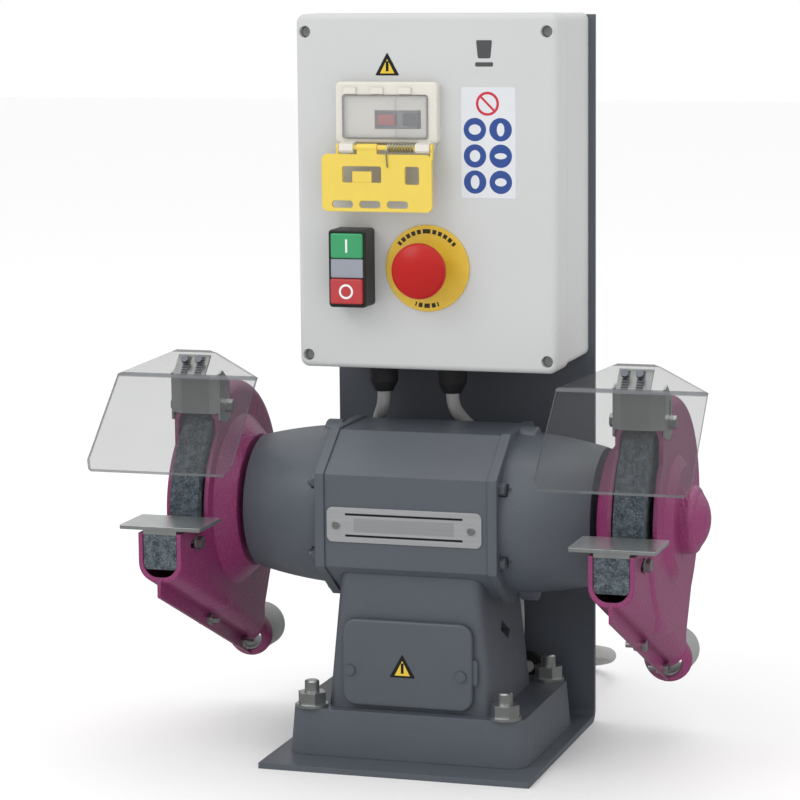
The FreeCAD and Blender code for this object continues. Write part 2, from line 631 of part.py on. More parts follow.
def dust_stub():
    """Round outlet spigot whose neck passes through the chute's rear wall."""
    start = CHUTE_REAR - GUARD_T - 1.5
    tube = cyl((WHEEL_X, CHUTE_REAR, STUB_Z), Y_AXIS, STUB_R, STUB_END - CHUTE_REAR)
    neck = cyl((WHEEL_X, start, STUB_Z), Y_AXIS, STUB_R - 4.05, CHUTE_REAR - start)
    bore = cyl((WHEEL_X, start - 1, STUB_Z), Y_AXIS, STUB_R - 5.5, 60)
    rim = [e for e in tube.Edges if abs(e.BoundBox.YMin - STUB_END) < 0.01]
    return tube.makeFillet(1.0, rim[:1]).fuse(neck).cut(bore).removeSplitter()


# ---------------------------------------------------------------- rests, arresters and shields

def tool_rest():
    """Flat work rest with a tongue and two legs that slide in the guard's mouth."""
    y0, y1 = REST_Y
    top = round_box(WHEEL_X - REST_W / 2, WHEEL_X + REST_W / 2, y0, y1, REST_TOP - REST_T, REST_TOP, Z_AXIS, 2.0)
    x0 = CHUTE_X[0] + GUARD_T + 0.3
    x1 = CHUTE_X[1] - GUARD_T - 0.3
    tongue = box(x0, x1, y0 + 0.6, y1 - 5, MOUTH_TOP - 1.0, REST_TOP - REST_T)
    rest = top.fuse(tongue)
    for leg in (x0, x1 - 2.0):
        rest = rest.fuse(box(leg, leg + 2.0, -88.0, y1 - 5, 144.0, MOUTH_TOP))
    return rest.cut(cyl((x0 - 5, REST_BOLT[0], REST_BOLT[1]), X_AXIS, 2.4, 40)).removeSplitter()


def rest_bolts():
    """Hexagon bolts with washers, one through each wall of the mouth."""
    pieces = []
    y, z = REST_BOLT
    for face, out in ((CHUTE_X[1] + 0.15, 1), (CHUTE_X[0] - 0.15, -1)):
        axis = Vector(out, 0, 0)
        start = Vector(face, y, z)
        pieces.append(ring(tuple(start), axis, 5.4, 2.4, 1.0))
        head = hexagon(tuple(start + axis * 1.0), axis, 8.0, 3.6)
        pieces.append(head.fuse(cyl(tuple(start + axis * 1.0), axis * -1, 2.35, 7.0)).removeSplitter())
    return pieces


def spark_seal():
    """Coarse filler block under the right-hand rest, closing the mouth."""
    x0 = CHUTE_X[0] + GUARD_T + 0.4
    x1 = CHUTE_X[1] - GUARD_T - 0.4
    block = box(x0, x1, MOUTH_Y + 0.6, SEAL_REAR, 137.0, MOUTH_TOP - 1.0)
    return block.makeChamfer(2.0, [e for e in edges_along(block, Y_AXIS) if e.Vertexes[0].Z < 138])


def bent_strip(points, x0, x1, thick):
    """Sheet of one thickness that follows (y, z) points on its outer side."""
    inner = []
    for i, point in enumerate(points):
        before = points[max(i - 1, 0)]
        after = points[min(i + 1, len(points) - 1)]
        way = math.atan2(after[1] - before[1], after[0] - before[0])
        inner.append((point[0] - thick * math.sin(way), point[1] + thick * math.cos(way)))
    return slab(points + inner[::-1], x0, x1)


def spark_arrester():
    """Bent steel U: front plate with angled sides, slotted ears and a slotted tongue for the shield."""
    z0, z1 = PLATE_Z
    left, right = EAR_X
    thick = 1.5
    plan = [(left, EAR_Y), (WHEEL_X - 10.5, PLATE_Y), (WHEEL_X + 9.5, PLATE_Y), (right, EAR_Y)]
    back = [(right - thick, EAR_Y), (WHEEL_X + 9.0, PLATE_Y + thick), (WHEEL_X - 10.0, PLATE_Y + thick),
            (left + thick, EAR_Y)]
    outline = [Vector(x, y, z0) for x, y in plan + back]
    sheet = Part.Face(Part.makePolygon(outline + outline[:1])).extrude(Vector(0, 0, z1 - z0))
    for x in (left, right - thick):
        ear = slab([(EAR_Y - 0.2, z0 - 5), (EAR_Y - 0.2, z1 + 2), (EAR_Y + 6, z1 + 4), (EAR_Y + 20, z1 - 6),
                    (EAR_Y + 20, z0 - 5), (EAR_Y + 13, z0 - 8)], x, x + thick)
        slot = round_box(x - 1, x + thick + 1, EAR_BOLT[0] - 2.6, EAR_BOLT[0] + 2.6, EAR_BOLT[1] - 5.0,
                         EAR_BOLT[1] + 14.5, X_AXIS, 2.5)
        sheet = sheet.fuse(ear.cut(slot))
    tongue = bent_strip([(PLATE_Y, z1 - 0.2), (SHIELD_CREASE[0] + 3.6, SHIELD_CREASE[1] - 1.6),
                         (SHIELD_REAR[0] + 2.8, SHIELD_REAR[1] - 3.5)], WHEEL_X - 11.5, WHEEL_X + 11.5, -thick)
    for x in SHIELD_SCREW_X:
        for step in (-3.7, -1.85, 0, 1.85, 3.7):
            start = facet_point(x, SHIELD_SCREW_STEP + step, 1.0)
            tongue = tongue.cut(cyl(tuple(start), FACET_IN, 1.9, 8.0))
    return sheet.fuse(tongue).removeSplitter()


def facet_point(x, step, above):
    """Point over the middle of the shield's upper facet, a step along its slope and a height above it."""
    y = (SHIELD_REAR[0] + SHIELD_CREASE[0]) / 2 + step * FACET_UP.y
    z = (SHIELD_REAR[1] + SHIELD_CREASE[1]) / 2 + step * FACET_UP.z
    return Vector(x, y, z) - FACET_IN * above


FACET_UP = Vector(0, SHIELD_REAR[0] - SHIELD_CREASE[0], SHIELD_REAR[1] - SHIELD_CREASE[1]).normalize()
FACET_IN = Vector(0, FACET_UP.z, -FACET_UP.y)
SHIELD_SCREW_X = (WHEEL_X - 6.0, WHEEL_X + 4.0)
SHIELD_SCREW_STEP = 2.2


def shield_screws():
    """Two screws with nuts that clamp the shield's upper facet to the slotted tongue."""
    pieces = []
    for x in SHIELD_SCREW_X:
        pieces.append(pan_screw(tuple(facet_point(x, SHIELD_SCREW_STEP, 1.6)), FACET_IN, 2.6, 1.6, 1.5, 7.8))
        start = facet_point(x, SHIELD_SCREW_STEP, -5.95)
        nut = hexagon(tuple(start), FACET_IN, 5.0, 1.8)
        pieces.append(nut.cut(cyl(tuple(start - FACET_IN), FACET_IN, 1.5, 5.0)))
    return pieces


def eye_shield():
    """Clear shield: a large sloping pane that narrows upwards behind its crease."""
    rear, crease, foot = SHIELD_REAR, SHIELD_CREASE, SHIELD_FOOT
    sheet = bent_strip([rear, crease, foot], WHEEL_X - 51.0, WHEEL_X + 51.0, SHIELD_T)
    window = Part.makePolygon([Vector(WHEEL_X + x, -200, z) for x, z in (
        (-12.5, rear[1] + 2.5), (12.5, rear[1] + 2.5), (12.5, rear[1] - 0.2), (50.0, crease[1]), (51.0, foot[1] + 5),
        (46.0, foot[1] - 4), (-46.0, foot[1] - 4), (-51.0, foot[1] + 5), (-50.0, crease[1]),
        (-12.5, rear[1] - 0.2), (-12.5, rear[1] + 2.5))])
    sheet = sheet.common(Part.Face(window).extrude(Vector(0, 250, 0)))
    for x in SHIELD_SCREW_X:
        sheet = sheet.cut(cyl(tuple(facet_point(x, SHIELD_SCREW_STEP, 1.0)), FACET_IN, 1.6, 6.0))
    return sheet


# ---------------------------------------------------------------- cabinet and controls

def cabinet_body():
    """Rear box of the switch cabinet, screwed to the back plate."""
    inset = 1.4
    half = CAB_W / 2 - inset
    block = round_box(-half, half, LID_DEPTH, PLATE_FACE, CAB_Z + inset, CAB_Z + CAB_H - inset, Y_AXIS, 5.0)
    hollow = round_box(-half + CAB_WALL, half - CAB_WALL, LID_DEPTH - 1, PLATE_FACE - CAB_WALL,
                       CAB_Z + inset + CAB_WALL, CAB_Z + CAB_H - inset - CAB_WALL, Y_AXIS, 3.0)
    block = block.cut(hollow)
    for x in (-LID_SCREW_X, LID_SCREW_X):
        for z in LID_SCREW_Z:
            post = cyl((x, LID_DEPTH, z), Y_AXIS, 5.4, PLATE_FACE - LID_DEPTH - 1).common(
                box(-half, half, 0, 100, CAB_Z + inset, CAB_Z + CAB_H - inset))
            block = block.fuse(post)
    for x in (-LID_SCREW_X, LID_SCREW_X):
        for z in LID_SCREW_Z:
            block = block.cut(cyl((x, LID_DEPTH - 1, z), Y_AXIS, 2.0, 12))
    for x in GLAND_X:
        block = block.cut(cyl((x, GLAND_Y, CAB_Z), Z_AXIS, 8.05, 8))
    return block.removeSplitter()


def cabinet_lid():
    """Front cover with rounded edges, corner screw wells and cut-outs for the controls."""
    half = CAB_W / 2
    block = round_box(-half, half, 0, LID_DEPTH, CAB_Z, CAB_Z + CAB_H, Y_AXIS, 6.0)
    front = [e for e in block.Edges if all(abs(v.Y) < 1e-6 for v in e.Vertexes)]
    block = block.makeFillet(4.0, front)
    hollow = round_box(-half + CAB_WALL, half - CAB_WALL, CAB_WALL, LID_DEPTH + 1, CAB_Z + CAB_WALL,
                       CAB_Z + CAB_H - CAB_WALL, Y_AXIS, 4.0)
    block = block.cut(hollow)
    for x in (-LID_SCREW_X, LID_SCREW_X):
        for z in LID_SCREW_Z:
            post = cyl((x, 1.0, z), Y_AXIS, 5.6, LID_DEPTH - 1).common(
                box(-half + 1, half - 1, 0, 100, CAB_Z + 1, CAB_Z + CAB_H - 1))
            block = block.fuse(post)
    for x in (-LID_SCREW_X, LID_SCREW_X):
        for z in LID_SCREW_Z:
            block = block.cut(cyl((x, -1, z), Y_AXIS, 3.9, 9.0))
            block = block.cut(cyl((x, 0, z), Y_AXIS, 2.2, 40))
    block = block.cut(box(-52.0, 1.0, -2, 8, 420.0, 446.0))
    block = block.cut(box(-60.0, -39.0, -2, 8, 309.0, 354.0))
    return block.cut(cyl((STOP_X, -2, STOP_Z), Y_AXIS, 11.2, 10)).removeSplitter()


def breaker_frame():
    """Surround of the breaker window with its two hinge lugs."""
    frame = round_box(-60.4, 11.0, -8.0, 0, 415.5, 456.5, Y_AXIS, 3.0)
    front = [e for e in frame.Edges if all(abs(v.Y + 8.0) < 1e-6 for v in e.Vertexes)]
    frame = frame.makeFillet(1.5, front)
    frame = frame.cut(round_box(-55.6, 4.8, -9, 1, 418.4, 448.0, Y_AXIS, 2.0))
    frame = frame.fuse(round_box(-55.6, 4.8, -5.5, -4.5, 418.4, 448.0, Y_AXIS, 2.0).cut(
        box(-33.5, -1.0, -6, -4, 425.0, 437.5)))
    for x in (-50.5, 3.0):
        lug = slab([(-1, 417), (-8, 417.0), (-16.4, 415.6), (-17.3, 411), (-15, 409.5), (-10, 410), (-1, 413)],
                   x - 5.0, x + 5.0)
        frame = frame.fuse(lug)
    frame = frame.cut(cyl((-70, HINGE_Y, HINGE_Z), X_AXIS, 1.85, 100))
    for x in (-50.0, -31.0, -11.5):
        frame = frame.fuse(box(x - 4.5, x + 4.5, -9.4, -6.5, 448.5, 453.0))
    return frame.removeSplitter()


def breaker_window():
    """Soft clear membrane over the two breaker buttons."""
    pane = round_box(-55.2, 4.4, -9.6, -8.6, 418.8, 447.6, Y_AXIS, 2.0)
    skirt = round_box(-55.2, 4.4, -8.7, -5.8, 418.8, 447.6, Y_AXIS, 2.0).cut(
        round_box(-54.2, 3.4, -9, -5, 419.8, 446.6, Y_AXIS, 1.5))
    return pane.fuse(skirt).fuse(box(-18.2, -17.0, -8.8, -7.6, 419.5, 447.0)).removeSplitter()


def breaker_module():
    """Motor breaker behind the window."""
    block = box(-48.0, -3.0, 6.0, 78.0, 392.0, 474.0)
    nose = box(-46.0, -5.0, 0.0, 6.0, 421.0, 445.0)
    whole = block.fuse(nose)
    for x0, x1 in BREAKER_KEYS:
        whole = whole.cut(box(x0 - 0.3, x1 + 0.3, -1, 8, BREAKER_KEY_Z[0] - 0.3, BREAKER_KEY_Z[1] + 0.3))
    return whole.removeSplitter()


BREAKER_KEYS = ((-32.3, -19.9), (-14.6, -2.2 - 0.6))
BREAKER_KEY_Z = (427.3, 434.7)


def breaker_key(index):
    """Small rectangular breaker button, index 0 red and 1 black."""
    x0, x1 = BREAKER_KEYS[index]
    key = box(x0, x1, -4.2, 5.0, BREAKER_KEY_Z[0], BREAKER_KEY_Z[1])
    front = [e for e in key.Edges if all(abs(v.Y + 4.2) < 1e-6 for v in e.Vertexes)]
    return key.makeFillet(1.0, front)


def lockout_flap():
    """Hinged cover with padlock slots, hanging open below the window."""
    flap = round_box(-68.0, 9.3, -16.0, -13.4, 370.0, 408.6, Y_AXIS, 4.0)
    for x0, x1, z0, z1 in ((-53.5, -26.0, 389.5, 400.5), (-9.5, 0.5, 388.5, 400.5)):
        flap = flap.cut(round_box(x0, x1, -20, -10, z0, z1, Y_AXIS, 1.5))
    for x in (-53.5, -34.2, -14.8):
        flap = flap.cut(round_box(x - 7.5, x + 7.5, -20, -10, 372.4, 377.4, Y_AXIS, 2.4))
    latch = box(-46.5, -33.0, -15.4, -14.0, 389.0, 397.0)
    flap = flap.fuse(latch)
    rod = cyl((-57.0, HINGE_Y, HINGE_Z), X_AXIS, 1.8, 66.5)
    parts = [flap, rod]
    for x0, x1 in ((-43.0, -29.0), (-57.5, -55.9), (8.4, 10.0)):
        parts.append(cyl((x0, HINGE_Y, HINGE_Z), X_AXIS, 2.6, x1 - x0))
        parts.append(box(x0, x1, -16.0, -13.4, 405.0, HINGE_Z))
    return fuse(parts)


def flap_spring():
    """Torsion spring round the flap's rod, with one leg down the flap."""
    coil = ring((-21.5, HINGE_Y, HINGE_Z), X_AXIS, 3.6, 2.1, 18.0)
    leg = cyl((-17.5, HINGE_Y - 2.9, HINGE_Z - 13.0), Z_AXIS, 0.6, 13.0)
    return coil.fuse(leg).removeSplitter()


def start_stop_housing():
    """Black surround of the start and stop buttons."""
    block = round_box(-62.6, -36.2, -20.0, 0.0, 305.4, 358.0, Y_AXIS, 2.5)
    front = [e for e in block.Edges if all(abs(v.Y + 20.0) < 1e-6 for v in e.Vertexes)]
    block = block.makeFillet(1.2, front)
    for x0, x1, z0, z1 in (START_KEY, STOP_KEY):
        block = block.cut(round_box(x0 - 0.35, x1 + 0.35, -22, -4, z0 - 0.35, z1 + 0.35, Y_AXIS, 1.6))
    return block


START_KEY = (-60.7, -38.1, 338.8, 355.6)
STOP_KEY = (-60.7, -38.1, 308.0, 325.0)


def key_cap(place, front):
    """Square push-button cap with soft edges."""
    x0, x1, z0, z1 = place
    cap = round_box(x0, x1, front, -9.0, z0, z1, Y_AXIS, 1.5)
    rim = [e for e in cap.Edges if all(abs(v.Y - front) < 1e-6 for v in e.Vertexes)]
    return cap.makeFillet(1.2, rim)


def estop_plate():
    """Round yellow plate with the fixed collar of the emergency stop."""
    disc = cyl((STOP_X, -2.4, STOP_Z), Y_AXIS, 29.3, 2.4)
    disc = disc.makeFillet(0.8, [e for e in disc.Edges if abs(e.BoundBox.YMax + 2.4) < 0.01][:1])
    collar = cyl((STOP_X, -10.0, STOP_Z), Y_AXIS, 14.0, 8.0)
    barrel = cyl((STOP_X, -3.0, STOP_Z), Y_AXIS, 11.0, 26.0)
    return disc.fuse(collar).fuse(barrel).cut(cyl((STOP_X, -12, STOP_Z), Y_AXIS, 7.05, 40)).removeSplitter()


def estop_stem():
    """Sliding stem inside the collar."""
    stem = cyl((STOP_X, -21.0, STOP_Z), Y_AXIS, 5.0, 9.0)
    return stem.fuse(cyl((STOP_X, -12.0, STOP_Z), Y_AXIS, 7.0, 28.0)).removeSplitter()


def estop_head():
    """Mushroom head: a skirt, a rounded brim and a shallow crown."""
    profile = [(-17.5, 0), (-17.5, 17.0)]
    points = [Vector(STOP_X + r, y, STOP_Z) for y, r in profile]
    brim = Vector(STOP_X + 18.9, -20.5, STOP_Z)
    shoulder = Vector(STOP_X + 17.4, -24.4, STOP_Z)
    crown = Vector(STOP_X + 9.5, -27.4, STOP_Z)
    edge = Vector(STOP_X + 1.5, -28.6, STOP_Z)
    top = Vector(STOP_X, -28.6, STOP_Z)
    edges = [Part.makeLine(points[0], points[1]), Part.Arc(points[1], brim, shoulder).toShape(),
             Part.Arc(shoulder, crown, edge).toShape(), Part.makeLine(edge, top), Part.makeLine(top, points[0])]
    head = Part.Face(Part.Wire(edges)).revolve(Vector(STOP_X, 0, STOP_Z), Y_AXIS, 360)
    skirt = ring((STOP_X, -17.6, STOP_Z), Y_AXIS, 16.4, 14.6, 5.6)
    head = head.fuse(skirt)
    return head.cut(cyl((STOP_X, -21.0, STOP_Z), Y_AXIS, 5.05, 6.0)).removeSplitter()


# ---------------------------------------------------------------- cables

def gland(centre, axis, cable_r):
    """Cable gland that stands out of a wall: nut, dome and bore."""
    start = Vector(*centre)
    flange = hexagon(centre, axis, 21.5, 6.0)
    body = cyl(tuple(start + axis * 6.0), axis, 10.0, 10.0)
    dome = Part.makeCone(10.0, 6.6, 7.0, start + axis * 16.0, axis)
    thread = cyl(tuple(start - axis * 7.0), axis, 8.0, 7.0)
    whole = fuse([flange, body, dome, thread])
    return whole.cut(cyl(tuple(start - axis * 8.0), axis, cable_r, 40.0))


def cable_glands():
    """Two glands under the cabinet and a short one through the back plate."""
    down = Vector(0, 0, -1)
    pieces = [gland((x, GLAND_Y, CAB_Z + 1.4), down, CABLE_R) for x in GLAND_X]
    x, _, z = LEAD_HOLE
    rear = PLATE_FACE + BASE_T
    collar = cyl((x, rear, z), Y_AXIS, 11.0, 3.0)
    snout = Part.makeCone(9.0, 6.0, LEAD_EXIT - rear - 3.0, Vector(x, rear + 3.0, z), Y_AXIS)
    neck = cyl((x, PLATE_FACE - 2.0, z), Y_AXIS, 8.0, BASE_T + 3.0)
    lip = cyl((x, PLATE_FACE - 3.0, z), Y_AXIS, 10.5, 3.0)
    grommet = fuse([lip, neck, collar, snout]).cut(cyl((x, PLATE_FACE - 5, z), Y_AXIS, CABLE_R, 40.0))
    return pieces + [grommet]


def cable_path(points):
    """Straight runs joined by tangent arcs, each arc as large as its two runs allow."""
    corners = [Vector(*p) for p in points]
    edges = []
    radii = []
    start = corners[0]
    for before, corner, after in zip(corners, corners[1:], corners[2:]):
        into = corner - before
        out = after - corner
        shorter = min(into.Length, out.Length)
        back = Vector(into).normalize()
        ahead = Vector(out).normalize()
        turn = back.getAngle(ahead)
        reach = 0.45 * shorter
        radii.append(reach / math.tan(turn / 2))
        first = corner - back * reach
        last = corner + ahead * reach
        bow = (ahead - back).normalize()
        hub = corner + bow * (radii[-1] / math.cos(turn / 2))
        middle = hub - bow * radii[-1]
        edges.append(Part.LineSegment(start, first).toShape())
        edges.append(Part.Arc(first, middle, last).toShape())
        start = last
    edges.append(Part.LineSegment(start, corners[-1]).toShape())
    return Part.Wire(edges), radii


def cable(points, radius, name):
    """Round cable along a path, with its bend radii and volume printed."""
    path, radii = cable_path(points)
    way = (Vector(*points[1]) - Vector(*points[0])).normalize()
    section = Part.Wire([Part.makeCircle(radius, Vector(*points[0]), way)])
    tube = path.makePipeShell([section], True, False)
    expected = math.pi * radius ** 2 * path.Length
    print(name, "length", round(path.Length, 1), "least radius", round(min(radii), 1),
          "radii", [round(r) for r in radii], "volume ratio", round(tube.Volume / expected, 4))
    return tube


MOTOR_FEED = [(GLAND_X[0], GLAND_Y, 270.0), (GLAND_X[0], GLAND_Y, 231.0), (-53.0, 59.0, 219.5),
              (-59.5, 76.0, 209.5), (-63.5, 86.5, 196.0), (-64.0, 87.8, 177.0), (-58.0, 86.5, 150.0),
              (-47.0, 85.5, 124.0), (-34.0, 85.0, 103.0), (-26.0, 78.3, 91.0), (-22.0, 66.7, 84.0),
              (-22.0, 38.0, 84.0)]
SUPPLY_FEED = [(GLAND_X[1], GLAND_Y, 270.0), (GLAND_X[1], GLAND_Y, 231.0), (8.0, 60.0, 219.0),
               (13.0, 76.5, 208.5), (18.0, 86.5, 194.0), (23.0, 87.5, 174.0), (29.0, 87.0, 150.0),
               (36.0, 84.0, 126.0), (42.0, 76.0, 101.0), (46.0, 66.0, 80.0), (46.0, 63.0, 58.5),
               (46.0, 70.5, 45.5), (46.0, 83.5, 38.0), (46.0, LEAD_EXIT, 38.0)]
MAINS_LEAD = [(46.0, LEAD_EXIT, 38.0), (46.0, 132.0, 38.0), (52.8, 150.0, 37.0), (65.5, 165.0, 34.5),
              (75.5, 182.0, 30.0), (79.0, 202.0, 24.0), (76.0, 221.5, 17.0), (65.5, 238.0, 10.5),
              (49.5, 249.5, 6.0), (30.0, 255.5, 4.5), (9.0, 257.0, 4.5), (-12.0, 256.4, 4.5)]
TAIL_LEAD = [(-77.0, 219.0, 13.7), (-78.0, 201.0, 16.0), (-71.2, 184.5, 22.0), (-58.5, 171.8, 28.5),
             (-42.0, 165.0, 32.7), (-24.0, 165.0, 32.7)]


def mains_coil():
    """Outer shape of the put-away coil of mains lead."""
    x, y = COIL_CENTRE
    inner, outer = COIL_R
    coil = ring((x, y, 0), Z_AXIS, outer, inner, COIL_H)
    return coil.makeFillet(4.0, [e for e in coil.Edges if len(e.Vertexes) == 1])


def mains_plug():
    """Round two-pin plug with a tapered strain relief that starts where the lead ends."""
    x, y, z = TAIL_LEAD[-1]
    relief = Part.makeCone(5.4, 7.6, 24.0, Vector(x, y, z), X_AXIS)
    body = Part.makeCone(9.0, 14.0, 14.0, Vector(x + 24.0, y, z), X_AXIS)
    barrel = cyl((x + 38.0, y, z), X_AXIS, 14.0, 18.0)
    pins = [cyl((x + 55.0, y, z + dz), X_AXIS, 2.4, 20.0) for dz in (-9.5, 9.5)]
    return fuse([relief, body, barrel] + pins)


def main():
    os.makedirs("parts", exist_ok=True)
    save("base_bracket", base_bracket())
    save("anchor_fasteners", anchor_fasteners())
    save("pedestal", pedestal())
    save("terminal_cover", terminal_cover())
    save("small_fasteners", small_fasteners())
    save("column_electrics", column_electrics())
    save("motor_housing", motor_housing())
    save("motor_bolts", motor_bolts())
    save("stator_core", stator_core())
    save("stator_windings", stator_windings())
    save("rotor_core", rotor_core())
    save("shaft", shaft())
    save("bearing_outer_rings", bearing_outer_rings())
    save("bearing_inner_sets", bearing_inner_sets())
    save("nameplate", nameplate())
    save("wheel_flanges", wheel_flanges())
    save("spindle_nuts", spindle_nuts())
    save("guard_fasteners", guard_fasteners())
    save("spark_seals", [mirrored(spark_seal(), side) for side in (-1, 1)])
    paired = {"end_bell": end_bell(), "wheel": wheel(), "guard_inner": guard_half(False),
              "guard_cover": guard_half(True), "dust_stub": dust_stub(),
              "tool_rest": tool_rest(), "spark_arrester": spark_arrester(), "eye_shield": eye_shield()}
    for name, piece in paired.items():
        save(name + "_right", piece)
        save(name + "_left", mirrored(piece, -1))
    for side, name in ((1, "right"), (-1, "left")):
        save("rest_bolts_" + name, [mirrored(piece, side) for piece in rest_bolts()])
        save("shield_screws_" + name, [mirrored(piece, side) for piece in shield_screws()])
    save("cabinet_body", cabinet_body())
    save("cabinet_lid", cabinet_lid())
    save("breaker_frame", breaker_frame())
    save("breaker_window", breaker_window())
    save("breaker_module", breaker_module())
    save("breaker_red_button", breaker_key(0))
    save("breaker_black_button", breaker_key(1))
    save("lockout_flap", lockout_flap())
    save("flap_spring", flap_spring())
    save("start_stop_housing", start_stop_housing())
    save("start_button", key_cap(START_KEY, -21.5))
    save("stop_button", key_cap(STOP_KEY, -23.0))
    save("estop_plate", estop_plate())
    save("estop_stem", estop_stem())
    save("estop_head", estop_head())
    save("cable_glands", cable_glands())
    save("cabinet_cables", [cable(MOTOR_FEED, CABLE_R, "motor feed"), cable(SUPPLY_FEED, CABLE_R, "supply feed")])
    save("mains_cord", [cable(MAINS_LEAD, CABLE_R, "mains lead"), cable(TAIL_LEAD, CABLE_R, "tail")])
    save("mains_coil", mains_coil())
    save("mains_plug", mains_plug())


main()
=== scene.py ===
import math

import bmesh
import bpy
import numpy as np
from mathutils import Matrix, Vector


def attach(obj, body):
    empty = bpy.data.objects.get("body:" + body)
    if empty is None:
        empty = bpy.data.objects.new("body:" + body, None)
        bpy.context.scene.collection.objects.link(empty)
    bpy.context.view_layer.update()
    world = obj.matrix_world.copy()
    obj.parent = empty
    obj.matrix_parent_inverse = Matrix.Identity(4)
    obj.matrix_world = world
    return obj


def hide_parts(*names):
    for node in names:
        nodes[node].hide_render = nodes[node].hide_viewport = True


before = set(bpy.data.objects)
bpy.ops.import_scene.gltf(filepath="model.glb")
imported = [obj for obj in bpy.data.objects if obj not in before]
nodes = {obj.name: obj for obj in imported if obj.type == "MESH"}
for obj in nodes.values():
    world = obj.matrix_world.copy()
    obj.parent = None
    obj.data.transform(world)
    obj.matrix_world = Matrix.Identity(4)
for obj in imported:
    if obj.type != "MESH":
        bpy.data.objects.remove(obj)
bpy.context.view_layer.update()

# ------------------------------------------------------------------ studio
# A pale floor, a white room that mirrors darker towards the floor, and three large soft lamps, seen from
# the user's right at a little above the wheels' height.

camera_data = bpy.data.cameras.new("camera")
camera_data.lens = 135.21
camera_data.sensor_width = 36.0
camera_data.clip_end = 50.0
camera = bpy.data.objects.new("camera", camera_data)
bpy.context.scene.collection.objects.link(camera)
bpy.context.scene.camera = camera

azimuth, elevation, roll = (math.radians(angle) for angle in (17.394, 8.402, -0.527))
camera_distance = 2.046575
look_at = Vector((-0.019184, 0.0, 0.24057))
outward = Vector((math.sin(azimuth) * math.cos(elevation), -math.cos(azimuth) * math.cos(elevation),
                  math.sin(elevation)))
level = Vector((math.cos(azimuth), math.sin(azimuth), 0.0))
rise = outward.cross(level)
side = math.cos(roll) * level + math.sin(roll) * rise
top = -math.sin(roll) * level + math.cos(roll) * rise
facing = Matrix((side, top, outward)).transposed().to_4x4()
camera.matrix_world = Matrix.Translation(look_at + camera_distance * outward) @ facing

world = bpy.data.worlds.new("white room")
bpy.context.scene.world = world
world.use_nodes = True
room = world.node_tree
room.nodes["Background"].inputs["Color"].default_value = (1.0, 1.0, 1.0, 1.0)
direction = room.nodes.new("ShaderNodeTexCoord")
parts = room.nodes.new("ShaderNodeSeparateXYZ")
ceiling = room.nodes.new("ShaderNodeMapRange")
ceiling.inputs["From Min"].default_value = 0.0
ceiling.inputs["From Max"].default_value = 0.75
ceiling.inputs["To Min"].default_value = 0.22
ceiling.inputs["To Max"].default_value = 1.15
rays = room.nodes.new("ShaderNodeLightPath")
strength = room.nodes.new("ShaderNodeMix")
strength.inputs["A"].default_value = 1.0
room.links.new(direction.outputs["Generated"], parts.inputs[0])
room.links.new(parts.outputs["Z"], ceiling.inputs["Value"])
room.links.new(rays.outputs["Is Glossy Ray"], strength.inputs["Factor"])
room.links.new(ceiling.outputs["Result"], strength.inputs["B"])
room.links.new(strength.outputs["Result"], room.nodes["Background"].inputs["Strength"])
bpy.context.scene.view_settings.view_transform = "Standard"

floor_reach = 9
floor_mesh = bpy.data.meshes.new("floor")
floor_corners = [(-floor_reach, -floor_reach, 0), (floor_reach, -floor_reach, 0), (floor_reach, floor_reach, 0),
                 (-floor_reach, floor_reach, 0)]
floor_mesh.from_pydata(floor_corners, [], [(0, 1, 2, 3)])
floor = bpy.data.objects.new("floor", floor_mesh)
bpy.context.scene.collection.objects.link(floor)
floor_finish = bpy.data.materials.new("floor")
floor_finish.use_nodes = True
floor_surface = floor_finish.node_tree.nodes["Principled BSDF"]
floor_surface.inputs["Base Color"].default_value = (0.98, 0.98, 0.98, 1.0)
floor_surface.inputs["Roughness"].default_value = 0.7
floor_mesh.materials.append(floor_finish)
floor.visible_glossy = False

lit_point = Vector((0, 0, 0.2))
for name, place, size, watts in (("key", (-1.6, -2.2, 2.4), 1.6, 17.0), ("fill", (2.2, -1.6, 1.2), 1.8, 2.0),
                                 ("top", (0.2, 0.4, 2.6), 1.6, 7.0)):
    lamp_data = bpy.data.lights.new(name, "AREA")
    lamp_data.size = size
    lamp_data.energy = watts
    lamp = bpy.data.objects.new(name, lamp_data)
    lamp.location = place
    lamp.rotation_euler = (lit_point - Vector(place)).to_track_quat("-Z", "Y").to_euler()
    bpy.context.scene.collection.objects.link(lamp)

# ------------------------------------------------------------------ mains lead
# Round grey rubber-sheathed lead. It leaves the gland in the back plate, swings out past the plate's edge
# and goes into a neat coil of four turns behind the machine, with its plug lying on the coil.

lead_size = 0.009
coil_centre = np.array([-0.020, 0.198])
lead_route = [(46.0, 113.0, 38.0), (46.0, 132.0, 38.0), (52.8, 150.0, 37.0), (65.5, 165.0, 34.5),
              (75.5, 182.0, 30.0), (79.0, 202.0, 24.0), (76.0, 221.5, 17.0), (65.5, 238.0, 10.5),
              (49.5, 249.5, 6.0), (30.0, 255.5, 4.5), (9.0, 257.0, 4.5), (-12.0, 256.4, 4.5)]
tail_route = [(-77.0, 219.0, 13.7), (-78.0, 201.0, 16.0), (-71.2, 184.5, 22.0), (-58.5, 171.8, 28.5),
              (-42.0, 165.0, 32.7), (-24.0, 165.0, 32.7)]


points_per_turn = 14


def coil_turns(start, turns, first, last, height_first, height_last):
    """Flat spiral: the angle grows evenly from start, the radius and height go evenly from first to last."""
    count = max(2, round(turns * points_per_turn))
    share = (np.arange(count) + 0.5) / count
    angle = math.radians(start) + share * turns * 2 * math.pi
    reach = first + (last - first) * share
    height = height_first + (height_last - height_first) * share
    across = coil_centre[0] + reach * np.cos(angle)
    back = coil_centre[1] + reach * np.sin(angle)
    return np.stack([across, back, height], axis=1)


